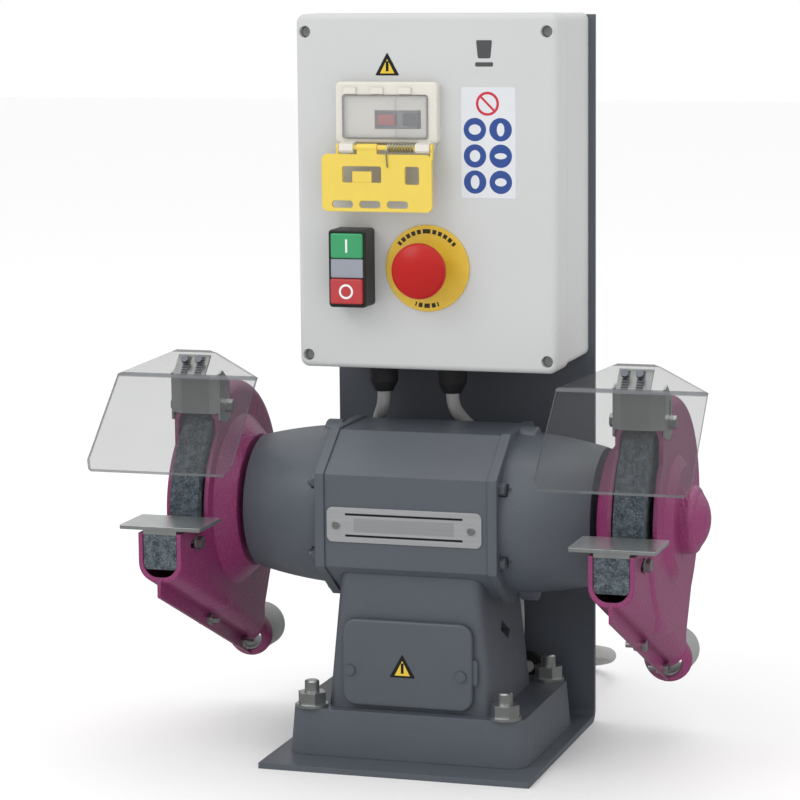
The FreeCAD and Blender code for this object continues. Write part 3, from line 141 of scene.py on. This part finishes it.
outer_turn, inner_turn = 0.0602, 0.0410
low_layer, high_layer = 0.0045, 0.0138
route = np.concatenate([
    np.array(lead_route) / 1000,
    coil_turns(90, 2.0, outer_turn, inner_turn, low_layer, low_layer),
    coil_turns(90, 0.17, inner_turn, inner_turn, 0.0060, 0.0125),
    coil_turns(151, 2.0, inner_turn, outer_turn, high_layer, high_layer),
    np.array(tail_route) / 1000])


def mesh_of(piece):
    """The mesh that a curve makes as it stands."""
    return bpy.data.meshes.new_from_object(piece.evaluated_get(bpy.context.evaluated_depsgraph_get()))


def smooth_line(name, points, width):
    """Round tube on a quadratic B-spline that the points pull on, and the points of its middle line."""
    curve = bpy.data.curves.new(name, "CURVE")
    curve.dimensions = "3D"
    curve.bevel_resolution = 5
    curve.resolution_u = 5
    curve.use_fill_caps = True
    spline = curve.splines.new("NURBS")
    spline.points.add(len(points) - 1)
    spline.points.foreach_set("co", np.c_[points, np.ones(len(points))].ravel())
    spline.order_u = 3
    spline.use_endpoint_u = True
    guide = bpy.data.objects.new("guide", curve)
    bpy.context.scene.collection.objects.link(guide)
    thread = mesh_of(guide)
    middle = np.empty(3 * len(thread.vertices), dtype=np.float32)
    thread.vertices.foreach_get("co", middle)
    curve.bevel_depth = width / 2
    skin = mesh_of(guide)
    bpy.data.objects.remove(guide)
    shell = bmesh.new()
    shell.from_mesh(skin)
    bmesh.ops.remove_doubles(shell, verts=shell.verts, dist=0.000001)
    bmesh.ops.recalc_face_normals(shell, faces=shell.faces)
    shell.to_mesh(skin)
    shell.free()
    tube = bpy.data.objects.new(name, skin)
    bpy.context.scene.collection.objects.link(tube)
    return tube, middle.reshape(-1, 3).tolist()


lead, lead_middle = smooth_line("mains_lead", route, lead_size)
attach(lead, "frame")
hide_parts("mains_cord", "mains_coil")


class Value:
    """A shader socket that ordinary arithmetic works on; each operation adds one Math node."""

    def __init__(self, finish, socket):
        self.finish = finish
        self.socket = socket

    def math(self, operation, first, second=None):
        sockets = {0: first} if second is None else {0: first, 1: second}
        return self.finish.node("ShaderNodeMath", {"operation": operation}, sockets)

    def __add__(self, other):
        return self.math("ADD", self, other)

    def __radd__(self, other):
        return self.math("ADD", other, self)

    def __sub__(self, other):
        return self.math("SUBTRACT", self, other)

    def __rsub__(self, other):
        return self.math("SUBTRACT", other, self)

    def __mul__(self, other):
        return self.math("MULTIPLY", self, other)

    def __rmul__(self, other):
        return self.math("MULTIPLY", other, self)

    def __truediv__(self, other):
        return self.math("DIVIDE", self, other)

    def __pow__(self, other):
        return self.math("POWER", self, other)

    def __lt__(self, other):
        return self.math("LESS_THAN", self, other)

    def __gt__(self, other):
        return self.math("GREATER_THAN", self, other)

    def __abs__(self):
        return self.math("ABSOLUTE", self)


class Finish:
    """One material: a Principled shader, with the values that are the same all over set on its sockets."""

    def __init__(self, name, **uniform):
        self.material = bpy.data.materials.new(name)
        self.material.use_nodes = True
        self.tree = self.material.node_tree
        self.surface = self.tree.nodes["Principled BSDF"]
        for socket, value in uniform.items():
            self.set(self.surface, socket.replace("_", " "), value)

    def set(self, node, socket, value):
        """Link a socket to a Value, or give it a plain number or colour."""
        target = node.inputs[socket]
        if isinstance(value, Value):
            self.tree.links.new(value.socket, target)
        elif isinstance(value, tuple) and len(value) == 3 and target.type == "RGBA":
            target.default_value = (*value, 1.0)
        else:
            target.default_value = value

    def node(self, kind, settings=None, sockets=None, output=0):
        """Any other node: its settings first, then its sockets; the answer is one of its outputs."""
        node = self.tree.nodes.new(kind)
        for key, value in (settings or {}).items():
            setattr(node, key, value)
        for socket, value in (sockets or {}).items():
            self.set(node, socket, value)
        return Value(self, node.outputs[output])

    def place(self):
        """Position on the object, in metres."""
        return self.node("ShaderNodeTexCoord", output="Object")

    def noise(self, scale, detail=3.0, roughness=0.5, stretch=None):
        """Cloudy pattern from 0 to 1; scale is in cycles a metre, and stretch squeezes it along each axis."""
        place = self.place()
        if stretch:
            place = self.node("ShaderNodeVectorMath", {"operation": "MULTIPLY"}, {0: place, 1: stretch})
        sockets = {"Vector": place, "Scale": scale, "Detail": detail, "Roughness": roughness}
        return self.node("ShaderNodeTexNoise", None, sockets, output="Fac")

    def cells(self, scale):
        """Distance to the nearest of many scattered points."""
        sockets = {"Vector": self.place(), "Scale": scale}
        return self.node("ShaderNodeTexVoronoi", None, sockets, output="Distance")

    def ramp(self, value, low, high):
        """0 below low, 1 above high and even between."""
        return self.node("ShaderNodeMapRange", {"interpolation_type": "SMOOTHSTEP"},
                         {"Value": value, "From Min": low, "From Max": high})

    def mix(self, share, first, second):
        """Colour between two colours."""
        sockets = {"Factor": share, 6: first, 7: second}
        return self.node("ShaderNodeMix", {"data_type": "RGBA"}, sockets, output=2)

    def axes(self):
        """The three coordinates on the object, in metres."""
        place = self.node("ShaderNodeSeparateXYZ", None, {0: self.place()}, output="X")
        node = place.socket.node
        return place, Value(self, node.outputs["Y"]), Value(self, node.outputs["Z"])

    def relief(self, height, depth, strength=1.0, edge=None):
        """Bump of a depth in metres; edge rounds sharp corners over that many metres."""
        sockets = {"Height": height, "Distance": depth, "Strength": strength}
        if edge:
            sockets["Normal"] = self.node("ShaderNodeBevel", {"samples": 4}, {"Radius": edge})
        self.set(self.surface, "Normal", self.node("ShaderNodeBump", None, sockets))

    def dress(self, *names):
        """Give this material to CAD nodes by name, or to new pieces."""
        for name in names:
            piece = nodes[name] if isinstance(name, str) else name
            if len(piece.data.materials) == 0:
                piece.data.materials.append(self.material)
            for index in range(len(piece.data.materials)):
                piece.data.materials[index] = self.material


sheath = Finish("grey sheath", Specular_IOR_Level=0.4)
soiling = sheath.noise(60, 4)
sheath.set(sheath.surface, "Base Color", sheath.mix(soiling, (0.36, 0.365, 0.36), (0.46, 0.46, 0.45)))
sheath.set(sheath.surface, "Roughness", 0.42 + 0.2 * sheath.noise(220, 2))
sheath.relief(sheath.noise(900, 3), 0.00015, 0.5)
sheath.dress(lead, "cabinet_cables")

plug_skin = Finish("plug skin")
plug_tone = plug_skin.mix(plug_skin.noise(90), (0.33, 0.335, 0.33), (0.40, 0.40, 0.39))
plug_skin.set(plug_skin.surface, "Base Color", plug_tone)
plug_skin.set(plug_skin.surface, "Roughness", 0.45 + 0.15 * plug_skin.noise(400, 2))
plug_skin.relief(plug_skin.noise(1500, 2), 0.0001, 0.4, edge=0.0008)
plug_skin.dress("mains_plug")

# ------------------------------------------------------------------ bracket and pedestal
# 4 mm steel sheet bent to an L, and a hollow iron casting bolted on it. Both are sprayed with slate grey
# enamel, which is smooth on the sheet and follows the fine cast grain on the pedestal.


def enamel(name, colour, grain, depth, gloss=0.38):
    """Sprayed enamel over a grain: long waves in the film, the grain itself and softened rims."""
    paint = Finish(name, Coat_Weight=0.25, Coat_Roughness=0.25)
    waves = paint.noise(14, 3)
    grit = paint.noise(grain, 5, 0.62)
    darker = tuple(0.86 * c for c in colour)
    lighter = tuple(min(1.0, 1.12 * c + 0.004) for c in colour)
    paint.set(paint.surface, "Base Color", paint.mix(0.6 * waves + 0.4 * grit, darker, lighter))
    paint.set(paint.surface, "Roughness", gloss + 0.14 * paint.noise(150, 3) + 0.06 * waves)
    paint.relief(grit, depth, 0.55, edge=0.0012)
    return paint


slate = (0.086, 0.101, 0.121)
sheet_enamel = enamel("slate enamel on sheet", slate, 420, 0.00012)
sheet_enamel.dress("base_bracket", "terminal_cover")
cast_enamel = enamel("slate enamel on casting", slate, 300, 0.0004)
cast_enamel.dress("pedestal", "end_bell_left", "end_bell_right")

# ------------------------------------------------------------------ fasteners
# Zinc-plated steel, cut from bar or cold headed, with a clouded bright plating. The cover's screws are
# painted over with the cover, so those below the motor are slate.


def plated(name, colour, rough, scale=260, streak=None):
    """Bright plating: clouded colour and gloss, fine streaks and softened corners."""
    zinc = Finish(name, Metallic=1.0)
    cloud = zinc.noise(scale, 4, 0.6)
    darker = tuple(0.72 * c for c in colour)
    zinc.set(zinc.surface, "Base Color", zinc.mix(cloud, darker, colour))
    zinc.set(zinc.surface, "Roughness", rough + 0.18 * zinc.noise(scale * 2.5, 3))
    zinc.relief(zinc.noise(scale * 4, 3, 0.6, stretch=streak), 0.00006, 0.5, edge=0.0004)
    return zinc


bright_zinc = (0.60, 0.63, 0.61)
zinc_plate = plated("zinc plate", bright_zinc, 0.26)
zinc_plate.dress("anchor_fasteners", "guard_fasteners", "rest_bolts_left", "rest_bolts_right")

dull_zinc = plated("dull zinc", (0.20, 0.21, 0.24), 0.38)
dull_zinc.dress("shield_screws_left", "shield_screws_right")

small_zinc = plated("zinc plate, painted over on the cover", bright_zinc, 0.26)
cover_top = 0.11
_, _, up = small_zinc.axes()
painted = up < cover_top
cloud = small_zinc.mix(small_zinc.noise(260, 4), (0.44, 0.46, 0.45), (0.62, 0.65, 0.63))
small_zinc.set(small_zinc.surface, "Base Color", small_zinc.mix(painted, cloud, slate))
small_zinc.set(small_zinc.surface, "Metallic", 1 - painted)
small_zinc.dress("small_fasteners")

ground_steel = plated("ground steel", (0.56, 0.56, 0.55), 0.3, streak=(1.0, 9.0, 9.0))
ground_steel.dress("shaft", "wheel_flanges", "spindle_nuts", "bearing_outer_rings", "bearing_inner_sets")

# ------------------------------------------------------------------ motor
# Eight-sided housing and two cast end bells held by long bolts, painted like the pedestal, and the bare
# iron and copper of the stator and rotor inside.

motor_enamel = enamel("slate enamel on motor", slate, 260, 0.00025, gloss=0.34)
motor_enamel.dress("motor_housing", "motor_bolts")

laminations = Finish("varnished laminations", Metallic=0.6)
radians_per_metre = 6283.0
across, _, _ = laminations.axes()
stack = abs(laminations.node("ShaderNodeMath", {"operation": "SINE"}, {0: across * radians_per_metre}))
iron_tone = laminations.mix(stack, (0.10, 0.095, 0.09), (0.24, 0.23, 0.22))
laminations.set(laminations.surface, "Base Color", iron_tone)
laminations.set(laminations.surface, "Roughness", 0.4 + 0.2 * laminations.noise(200))
laminations.relief(stack, 0.0002, 0.6)
laminations.dress("stator_core", "rotor_core")

windings = Finish("enamelled copper", Metallic=0.7)
strands = windings.noise(900, 2, 0.5, stretch=(0.15, 1.0, 1.0))
windings.set(windings.surface, "Base Color", windings.mix(strands, (0.30, 0.09, 0.03), (0.62, 0.27, 0.12)))
windings.set(windings.surface, "Roughness", 0.3 + 0.25 * strands)
windings.relief(strands, 0.0005, 0.7)
windings.dress("stator_windings")

# ------------------------------------------------------------------ nameplate
# Brushed aluminium plate held by two rivets, with two printed lines, a shaded panel between them and
# nothing written on it.

plate_middle = -0.001
line_half_length, line_half_width = 0.041, 0.00075
upper_line, lower_line = 0.1700, 0.1555
name_metal = Finish("brushed nameplate", Metallic=0.75)
brush = name_metal.noise(260, 4, 0.6, stretch=(0.05, 1.0, 3.0))
across, _, up = name_metal.axes()
aside = abs(across - plate_middle)
upper = (abs(up - upper_line) < line_half_width) * (aside < line_half_length)
lower = (abs(up - lower_line) < line_half_width) * (aside < line_half_length)
panel = (abs(up - (upper_line + lower_line) / 2) < 0.0046) * (aside < 0.035)
bare = name_metal.mix(brush, (0.60, 0.61, 0.62), (0.76, 0.77, 0.78))
shaded = name_metal.mix(0.35 * panel, bare, (0.30, 0.31, 0.33))
name_metal.set(name_metal.surface, "Base Color", name_metal.mix(upper + lower, shaded, (0.03, 0.03, 0.035)))
name_metal.set(name_metal.surface, "Roughness", 0.32 + 0.2 * brush)
name_metal.relief(brush, 0.00004, 0.5, edge=0.0003)
name_metal.dress("nameplate", "column_electrics")

# ------------------------------------------------------------------ grinding wheels
# Vitrified abrasive, dark slate with bright grains that catch the light. It is pressed and fired, so the
# rim is coarse and open. The same grit fills the mouth under each rest.

grit_body = Finish("abrasive grit", Specular_IOR_Level=0.5)
grains = grit_body.cells(780)
tone = grit_body.noise(190, 5, 0.75)
coarse = grit_body.noise(620, 4, 0.8)
spark = grit_body.ramp(grit_body.noise(1500, 2, 0.6), 0.66, 0.72)
open_pores = grit_body.ramp(0.5 * tone + 0.5 * coarse, 0.40, 0.62)
deep = grit_body.mix(open_pores, (0.026, 0.037, 0.047), (0.120, 0.148, 0.170))
grit_body.set(grit_body.surface, "Base Color", grit_body.mix(0.85 * spark, deep, (0.55, 0.60, 0.63)))
grit_body.set(grit_body.surface, "Roughness", 0.92 - 0.45 * spark)
grit_body.relief(0.6 * coarse + 0.4 * grains, 0.0011, 0.9)
grit_body.dress("wheel_left", "wheel_right", "spark_seals")

# ------------------------------------------------------------------ wheel guards
# Two pressed steel halves bolted along a flange, sprayed magenta with the dimpled skin of a thick coat,
# and a grey moulded spigot for the dust hose at the lower end.

magenta = Finish("magenta enamel", Coat_Weight=0.55, Coat_Roughness=0.18)
dimples = magenta.noise(520, 2, 0.45)
drift = magenta.noise(24, 3)
magenta.set(magenta.surface, "Base Color",
            magenta.mix(0.55 * drift + 0.45 * dimples, (0.195, 0.020, 0.098), (0.315, 0.040, 0.165)))
magenta.set(magenta.surface, "Roughness", 0.30 + 0.16 * magenta.noise(260, 3))
magenta.relief(magenta.ramp(dimples, 0.32, 0.68), 0.00055, 0.55, edge=0.0015)
magenta.dress("guard_inner_left", "guard_inner_right", "guard_cover_left", "guard_cover_right")

spigot = Finish("grey spigot")
spigot_tone = spigot.mix(spigot.noise(80, 3), (0.27, 0.285, 0.28), (0.34, 0.35, 0.345))
spigot.set(spigot.surface, "Base Color", spigot_tone)
spigot.set(spigot.surface, "Roughness", 0.38 + 0.18 * spigot.noise(300))
spigot.relief(spigot.noise(1200, 2), 0.00012, 0.4, edge=0.0006)
spigot.dress("dust_stub_left", "dust_stub_right", "breaker_module")

# ------------------------------------------------------------------ rests and arresters
# Bright zinc-plated sheet, bent and slotted. The rolling direction shows as long faint streaks.

rest_plate = plated("plated sheet", (0.84, 0.88, 0.86), 0.24, scale=70, streak=(0.3, 1.0, 1.0))
rest_plate.dress("tool_rest_left", "tool_rest_right", "spark_arrester_left", "spark_arrester_right")

# ------------------------------------------------------------------ eye shields
# 3 mm clear polycarbonate, bent hot along one line. The broad faces are almost invisible. The sawn edges
# and the line of the bend are painted grey and nearly opaque, painted shade and highlight for the dark and
# bright lines that light draws along the edges of clear sheet.


def clear_sheet(name, facings, tint, veil, painted_edge_tint, crease=None):
    """Clear sheet: faces that look along a facing let light through, the others are edges and show grey.

    The crease is a height, in metres, where a line of painted shade 2.2 mm wide marks the bend.
    """
    pane = Finish(name, Roughness=0.06, IOR=1.5)
    facing = pane.node("ShaderNodeNewGeometry", output="True Normal")
    flatness = None
    for direction in facings:
        along = abs(pane.node("ShaderNodeVectorMath", {"operation": "DOT_PRODUCT"}, {0: facing, 1: direction},
                              output="Value"))
        flatness = along if flatness is None else pane.node("ShaderNodeMath", {"operation": "MAXIMUM"},
                                                            {0: flatness, 1: along})
    # Edge faces get a grey, nearly opaque paint: painted shade and highlight for the lines light draws in them.
    edge = flatness < 0.93
    if crease:
        # The bend is painted the same way, as a line of painted shade.
        painted_crease_line = abs(pane.axes()[2] - crease) < 0.0011
        edge = pane.node("ShaderNodeMath", {"operation": "MAXIMUM"}, {0: edge, 1: painted_crease_line})
    glare = pane.node("ShaderNodeLayerWeight", None, {"Blend": 0.12}, output="Fresnel")
    pane.set(pane.surface, "Base Color", pane.mix(edge, tint, painted_edge_tint))
    haze = veil + 0.03 * pane.noise(40, 2)
    pane.set(pane.surface, "Alpha", edge * 0.72 + (1 - edge) * haze)
    shine = pane.node("ShaderNodeBsdfGlossy", None, {"Color": (1.0, 1.0, 1.0), "Roughness": 0.05})
    blend = pane.node("ShaderNodeMixShader", None, {0: 0.3 * glare * (1 - edge)})
    mixer = blend.socket.node
    pane.tree.links.new(pane.surface.outputs["BSDF"], mixer.inputs[1])
    pane.tree.links.new(shine.socket, mixer.inputs[2])
    pane.tree.links.new(mixer.outputs["Shader"], pane.tree.nodes["Material Output"].inputs["Surface"])
    return pane


shield_facings = ((0.0, 0.7526, -0.6585), (0.0, 0.6883, -0.7254))
crease_height = 0.2595
shield_pane = clear_sheet("shield sheet", shield_facings, (0.07, 0.073, 0.078), 0.22, (0.15, 0.16, 0.17),
                          crease=crease_height)
shield_pane.dress("eye_shield_left", "eye_shield_right")

# ------------------------------------------------------------------ switch cabinet
# Light grey moulded box and lid with a fine eroded texture, four deep screw wells and two M20 glands.

shell = Finish("cabinet shell")
shell_tone = shell.mix(shell.noise(9, 2), (0.560, 0.572, 0.572), (0.600, 0.612, 0.612))
shell.set(shell.surface, "Base Color", shell_tone)
shell.set(shell.surface, "Roughness", 0.46 + 0.1 * shell.noise(500, 2))
shell.relief(shell.noise(1800, 2), 0.00008, 0.45, edge=0.0012)
shell.dress("cabinet_body", "cabinet_lid")


def moulded(name, colour, gloss, **uniform):
    """Moulded plastic: a faint drift of tone, a fine eroded grain and softened corners."""
    skin = Finish(name, **uniform)
    darker = tuple(0.9 * c for c in colour)
    skin.set(skin.surface, "Base Color", skin.mix(skin.noise(70, 3), darker, colour))
    skin.set(skin.surface, "Roughness", gloss + 0.12 * skin.noise(450, 2))
    skin.relief(skin.noise(1600, 2), 0.00008, 0.35, edge=0.0006)
    return skin


black_moulding = moulded("black moulding", (0.022, 0.022, 0.024), 0.42)
black_moulding.dress("cable_glands", "start_stop_housing", "breaker_black_button", "estop_stem")

# ------------------------------------------------------------------ breaker window and lockout cover
# Cream surround with hooks, a soft clear membrane over two small buttons, and a yellow hinged cover with
# padlock slots that hangs open on its sprung rod.

moulded("cream moulding", (0.76, 0.73, 0.66), 0.34).dress("breaker_frame")
moulded("yellow moulding", (0.87, 0.64, 0.10), 0.33, Subsurface_Weight=0.05).dress("lockout_flap")
moulded("breaker red", (0.42, 0.02, 0.015), 0.35).dress("breaker_red_button")

# The spring is a helix round the rod: x grows evenly and the wire turns at one radius. A straight leg
# from its first turn presses on the back of the cover.
spring_turns = 9
spring_start, spring_span, spring_radius = -21.4, 17.8, 2.9
wire_size = 0.00095
hinge = np.array([0.0, -14.0, 413.0])
turns = np.linspace(0, spring_turns * 2 * math.pi, spring_turns * 12 + 1)
winding = np.stack([spring_start + spring_span * turns / turns[-1], spring_radius * np.sin(turns),
                    spring_radius * np.cos(turns)], axis=1) + hinge
leg = np.array([[-21.9, -2.9, -1.5], [-22.0, -2.9, -6.0], [-21.2, -2.9, -13.0]]) + hinge
spring, _ = smooth_line("flap_spring_wire", np.concatenate([leg[::-1], winding]) / 1000, wire_size)
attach(spring, "lockout_cover")
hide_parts("flap_spring")
zinc_plate.dress(spring)

# The membrane's edges get the same painted grey, painted shade and highlight.
membrane = clear_sheet("window membrane", ((0.0, 1.0, 0.0),), (0.70, 0.71, 0.73), 0.16, (0.55, 0.56, 0.58))
membrane.dress("breaker_window")

# ------------------------------------------------------------------ start, stop and emergency stop
# Green and red square keys in a black housing, a white bar moulded in the start key and a ring in the stop
# key, a red mushroom head, and a round yellow plate with two arcs of dark dashes.

key_middle = -0.0494
start_height, stop_height = 0.3472, 0.3165
mark_half_width = 0.0007
ring_radius = 0.0043


def printed_key(name, colour, mark):
    """Key cap with a white mark where mark, worked out from the coordinates, is 1."""
    cap = Finish(name)
    across, _, up = cap.axes()
    white = mark(across, up)
    base = cap.mix(cap.noise(90, 2), tuple(0.9 * c for c in colour), colour)
    cap.set(cap.surface, "Base Color", cap.mix(white, base, (0.82, 0.83, 0.82)))
    cap.set(cap.surface, "Roughness", 0.33 + 0.12 * cap.noise(500, 2))
    cap.relief(cap.noise(1600, 2), 0.00006, 0.3, edge=0.0005)
    return cap


def bar(across, up):
    """Upright bar 1.4 mm wide and 9 mm high."""
    return (abs(across - key_middle) < mark_half_width) * (abs(up - start_height) < 0.0045)


def hoop(across, up):
    """Ring: the distance from its middle differs from the ring's radius by under half its width."""
    gap = ((across - key_middle) ** 2.0 + (up - stop_height) ** 2.0) ** 0.5
    return abs(gap - ring_radius) < mark_half_width


printed_key("green key", (0.045, 0.36, 0.145), bar).dress("start_button")
printed_key("red key", (0.52, 0.045, 0.05), hoop).dress("stop_button")
mushroom = moulded("mushroom red", (0.48, 0.010, 0.008), 0.26, Specular_IOR_Level=0.3, Coat_Weight=0.1,
                   Coat_Roughness=0.12)
mushroom.dress("estop_head")

stop_middle = (0.0014, 0.3312)
dash_radius, dash_half_height = 0.0252, 0.0015
dashes_per_radian = 6.2
stop_plate = Finish("stop plate yellow")
across, _, up = stop_plate.axes()
across = across - stop_middle[0]
up = up - stop_middle[1]
turn = abs(stop_plate.node("ShaderNodeMath", {"operation": "ARCTAN2"}, {0: across, 1: up}))
band = abs((across ** 2.0 + up ** 2.0) ** 0.5 - dash_radius) < dash_half_height
dashes = stop_plate.node("ShaderNodeMath", {"operation": "FRACT"}, {0: turn * dashes_per_radian}) < 0.68
printed = band * dashes * ((turn < 0.89) + (turn > 2.81))
yellow = stop_plate.mix(stop_plate.noise(70, 3), (0.66, 0.43, 0.035), (0.78, 0.53, 0.05))
stop_plate.set(stop_plate.surface, "Base Color", stop_plate.mix(printed, yellow, (0.03, 0.028, 0.02)))
stop_plate.set(stop_plate.surface, "Roughness", 0.34 + 0.12 * stop_plate.noise(450, 2))
stop_plate.relief(stop_plate.noise(1600, 2), 0.00008, 0.35, edge=0.0006)
stop_plate.dress("estop_plate")

# ------------------------------------------------------------------ signs and inserts
# Thin printed labels on the lid and the terminal cover, with plain shapes in place of pictures and words,
# and the smooth grey insert between the start and stop keys.


lid_face, cover_face, housing_face = 0.0, -50.5, -20.0
sign_half_base = 0.53


def soft_polygon(corners, radius):
    """Outline whose corners are cut back by radius: (1 - t)^2 before + 2 t (1 - t) corner + t^2 after."""
    corners = np.array(corners, dtype=float)
    share = np.linspace(0, 1, 6)[:, None]
    outline = []
    for before, corner, after in zip(np.roll(corners, 1, axis=0), corners, np.roll(corners, -1, axis=0)):
        first = corner + radius * (before - corner) / np.linalg.norm(before - corner)
        last = corner + radius * (after - corner) / np.linalg.norm(after - corner)
        outline.append((1 - share) ** 2 * first + 2 * share * (1 - share) * corner + share ** 2 * last)
    return np.concatenate(outline)


def label(name, outline, face, thick):
    """Thin plate on the surface y = face: each ring of the outline is drawn in and lifted to roll its rim."""
    middle = outline.mean(axis=0)
    away = outline - middle
    away /= np.linalg.norm(away, axis=1)[:, None]
    rings = []
    for lift, inset in ((0.0, 0.0), (0.55, 0.0), (0.9, 0.3), (1.0, 0.8)):
        edge = outline - inset * thick * away
        rings.append(np.stack([edge[:, 0], np.full(len(edge), face - lift * thick), edge[:, 1]], axis=1))
    points = np.concatenate(rings) / 1000
    count = len(outline)
    faces = [tuple(range(count))[::-1], tuple(range(3 * count, 4 * count))]
    for ring in range(3):
        for i in range(count):
            j = (i + 1) % count
            below, above = ring * count, (ring + 1) * count
            faces.append((below + i, below + j, above + j, above + i))
    mesh = bpy.data.meshes.new(name)
    mesh.from_pydata(points.tolist(), [], faces)
    mesh.validate()
    piece = bpy.data.objects.new(name, mesh)
    bpy.context.scene.collection.objects.link(piece)
    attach(piece, "frame")
    return piece


def rectangle(x0, x1, z0, z1):
    """Four corners, anticlockwise."""
    return [(x0, z0), (x1, z0), (x1, z1), (x0, z1)]


def warning_finish(name, middle, base, height):
    """Black triangle with a yellow rim and stroke; its sides lean in by half the base over the height."""
    sign = Finish(name, Roughness=0.35)
    across, _, up = sign.axes()
    across = abs(across - middle)
    up = up - base
    inside = (up > 0.0014) * (across < (height - up) * sign_half_base - 0.0024)
    wobble = sign.noise(60, 2)
    stroke = (abs(across - 0.0002) < 0.0008) * (up > 0.0028) * (up < height * 0.62)
    plain = sign.mix(wobble, (0.74, 0.50, 0.03), (0.84, 0.60, 0.05))
    sign.set(sign.surface, "Base Color", sign.mix(inside * (1 - stroke), (0.012, 0.012, 0.012), plain))
    sign.relief(sign.noise(900, 2), 0.00003, 0.3)
    return sign


cabinet_sign = label("cabinet_sign", soft_polygon([(-34.5, 460.5), (-17.5, 460.5), (-26.0, 476.0)], 1.2),
                     lid_face, 0.25)
warning_finish("cabinet sign", -0.026, 0.4605, 0.0155).dress(cabinet_sign)
cover_sign = label("cover_sign", soft_polygon([(-12.5, 59.5), (5.5, 59.5), (-3.5, 75.6)], 1.2),
                   cover_face, 0.25)
warning_finish("cover sign", -0.0035, 0.0595, 0.0161).dress(cover_sign)

safety_label = label("safety_label", soft_polygon(rectangle(25.4, 63.0, 379.0, 453.0), 1.5), lid_face, 0.2)
disc_radius = 0.0078
barred_middle = (0.0437, 0.442)
safety = Finish("safety label", Roughness=0.3)
across, _, up = safety.axes()
blue = None
white = None
for column, row, wide, high in ((34.9, 424.8, 4.2, 3.4), (52.7, 424.8, 2.6, 4.4), (34.9, 407.2, 3.6, 3.9),
                                (52.7, 407.2, 4.2, 2.0), (34.9, 389.8, 3.0, 4.6), (52.7, 389.8, 4.0, 2.7)):
    aside = (across - column / 1000) ** 2.0
    above = (up - row / 1000) ** 2.0
    disc = (aside + above) < disc_radius ** 2
    blob = (aside / (wide / 1000) ** 2 + above / (high / 1000) ** 2) < 1.0
    blue = disc if blue is None else blue + disc
    white = blob if white is None else white + blob
across = across - barred_middle[0]
up = up - barred_middle[1]
reach = (across ** 2.0 + up ** 2.0) ** 0.5
slash = (abs(across + up) < 0.0011) * (reach < 0.0076)
ring = (abs(reach - 0.0071) < 0.0009) + slash
paper = safety.mix(safety.noise(30, 2), (0.66, 0.68, 0.71), (0.72, 0.74, 0.77))
inked = safety.mix(blue * (1 - white), paper, (0.03, 0.075, 0.29))
safety.set(safety.surface, "Base Color", safety.mix(ring, inked, (0.58, 0.03, 0.06)))
safety.relief(safety.noise(700, 2), 0.00002, 0.3)
safety.dress(safety_label)

mark = label("cabinet_mark", soft_polygon(rectangle(35.4, 47.6, 466.6, 469.4), 0.8),
             lid_face, 0.2)
tag = label("cabinet_tag", soft_polygon([(37.2, 472.0), (45.8, 472.0), (47.0, 484.0), (36.0, 484.0)], 1.2),
            lid_face, 0.2)
printed_ink = moulded("printed ink", (0.075, 0.08, 0.085), 0.45)
printed_ink.dress(mark, tag)

insert = label("key_insert", soft_polygon(rectangle(-60.7, -38.1, 325.5, 338.3), 1.0), housing_face, 0.9)
moulded("pilot insert", (0.31, 0.335, 0.385), 0.3).dress(insert)

# ------------------------------------------------------------------ shield racks
# Two short serrated strips between each shield and its tongue. They show through the clear sheet as dark
# ladders, one round each clamping screw. Their colour is light and shade painted on: level bands of dark
# painted shade and bright painted highlight, a pair to every 1.5 mm of height.

wheel_middle = 154.0
rack_half_length, rack_half_width = 8.0, 2.25
tooth = 2.0
# Pairs of bands, painted highlight and painted shade, per metre of height on the racks.
painted_bands_per_metre = 664.0


def rack(name, middle, body):
    """Strip under the shield's upper facet; its back is a triangle wave, one period a tooth."""
    along = np.linspace(-rack_half_length, rack_half_length, 65)
    wave = np.abs(((along / tooth) % 1.0) - 0.5) * 2.0
    slope = np.array([0.6585, 0.7526])
    inward = np.array([0.7526, -0.6585])
    start = np.array([-46.0, 268.0])
    upper = start + along[:, None] * slope + (3.06 + 0.4 * wave)[:, None] * inward
    lower = start + along[:, None] * slope + 3.66 * inward
    loops = []
    for x, line in ((-rack_half_width, lower), (-rack_half_width, upper), (rack_half_width, upper),
                    (rack_half_width, lower)):
        loops.append(np.c_[np.full(len(along), middle + x), line])
    points = np.concatenate(loops) / 1000
    count = len(along)
    faces = []
    for strip in range(4):
        beside = (strip + 1) % 4
        for i in range(count - 1):
            faces.append((strip * count + i, strip * count + i + 1, beside * count + i + 1, beside * count + i))
    faces += [(0, count, 2 * count, 3 * count), (4 * count - 1, 3 * count - 1, 2 * count - 1, count - 1)]
    mesh = bpy.data.meshes.new(name)
    mesh.from_pydata(points.tolist(), [], faces)
    mesh.validate()
    piece = bpy.data.objects.new(name, mesh)
    bpy.context.scene.collection.objects.link(piece)
    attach(piece, body)
    return piece


ladder = Finish("serrated strip", Metallic=0.5)
_, _, up = ladder.axes()
# Level bands over the teeth: 42 % of each pair is painted highlight, the rest painted shade.
painted_tooth_highlight = ladder.node("ShaderNodeMath", {"operation": "FRACT"}, {0: up * painted_bands_per_metre}) < 0.42
ladder.set(ladder.surface, "Base Color", ladder.mix(painted_tooth_highlight, (0.045, 0.045, 0.06), (0.50, 0.50, 0.55)))
ladder.set(ladder.surface, "Roughness", 0.35 + 0.2 * ladder.noise(300, 2))
ladder.relief(ladder.noise(900, 3), 0.00008, 0.5)
for side, body in ((-1, "shield_left"), (1, "shield_right")):
    for place, shift in (("inner", -6.0), ("outer", 4.0)):
        ladder.dress(rack("rack_" + place + "_" + body, side * (wheel_middle + shift), body))
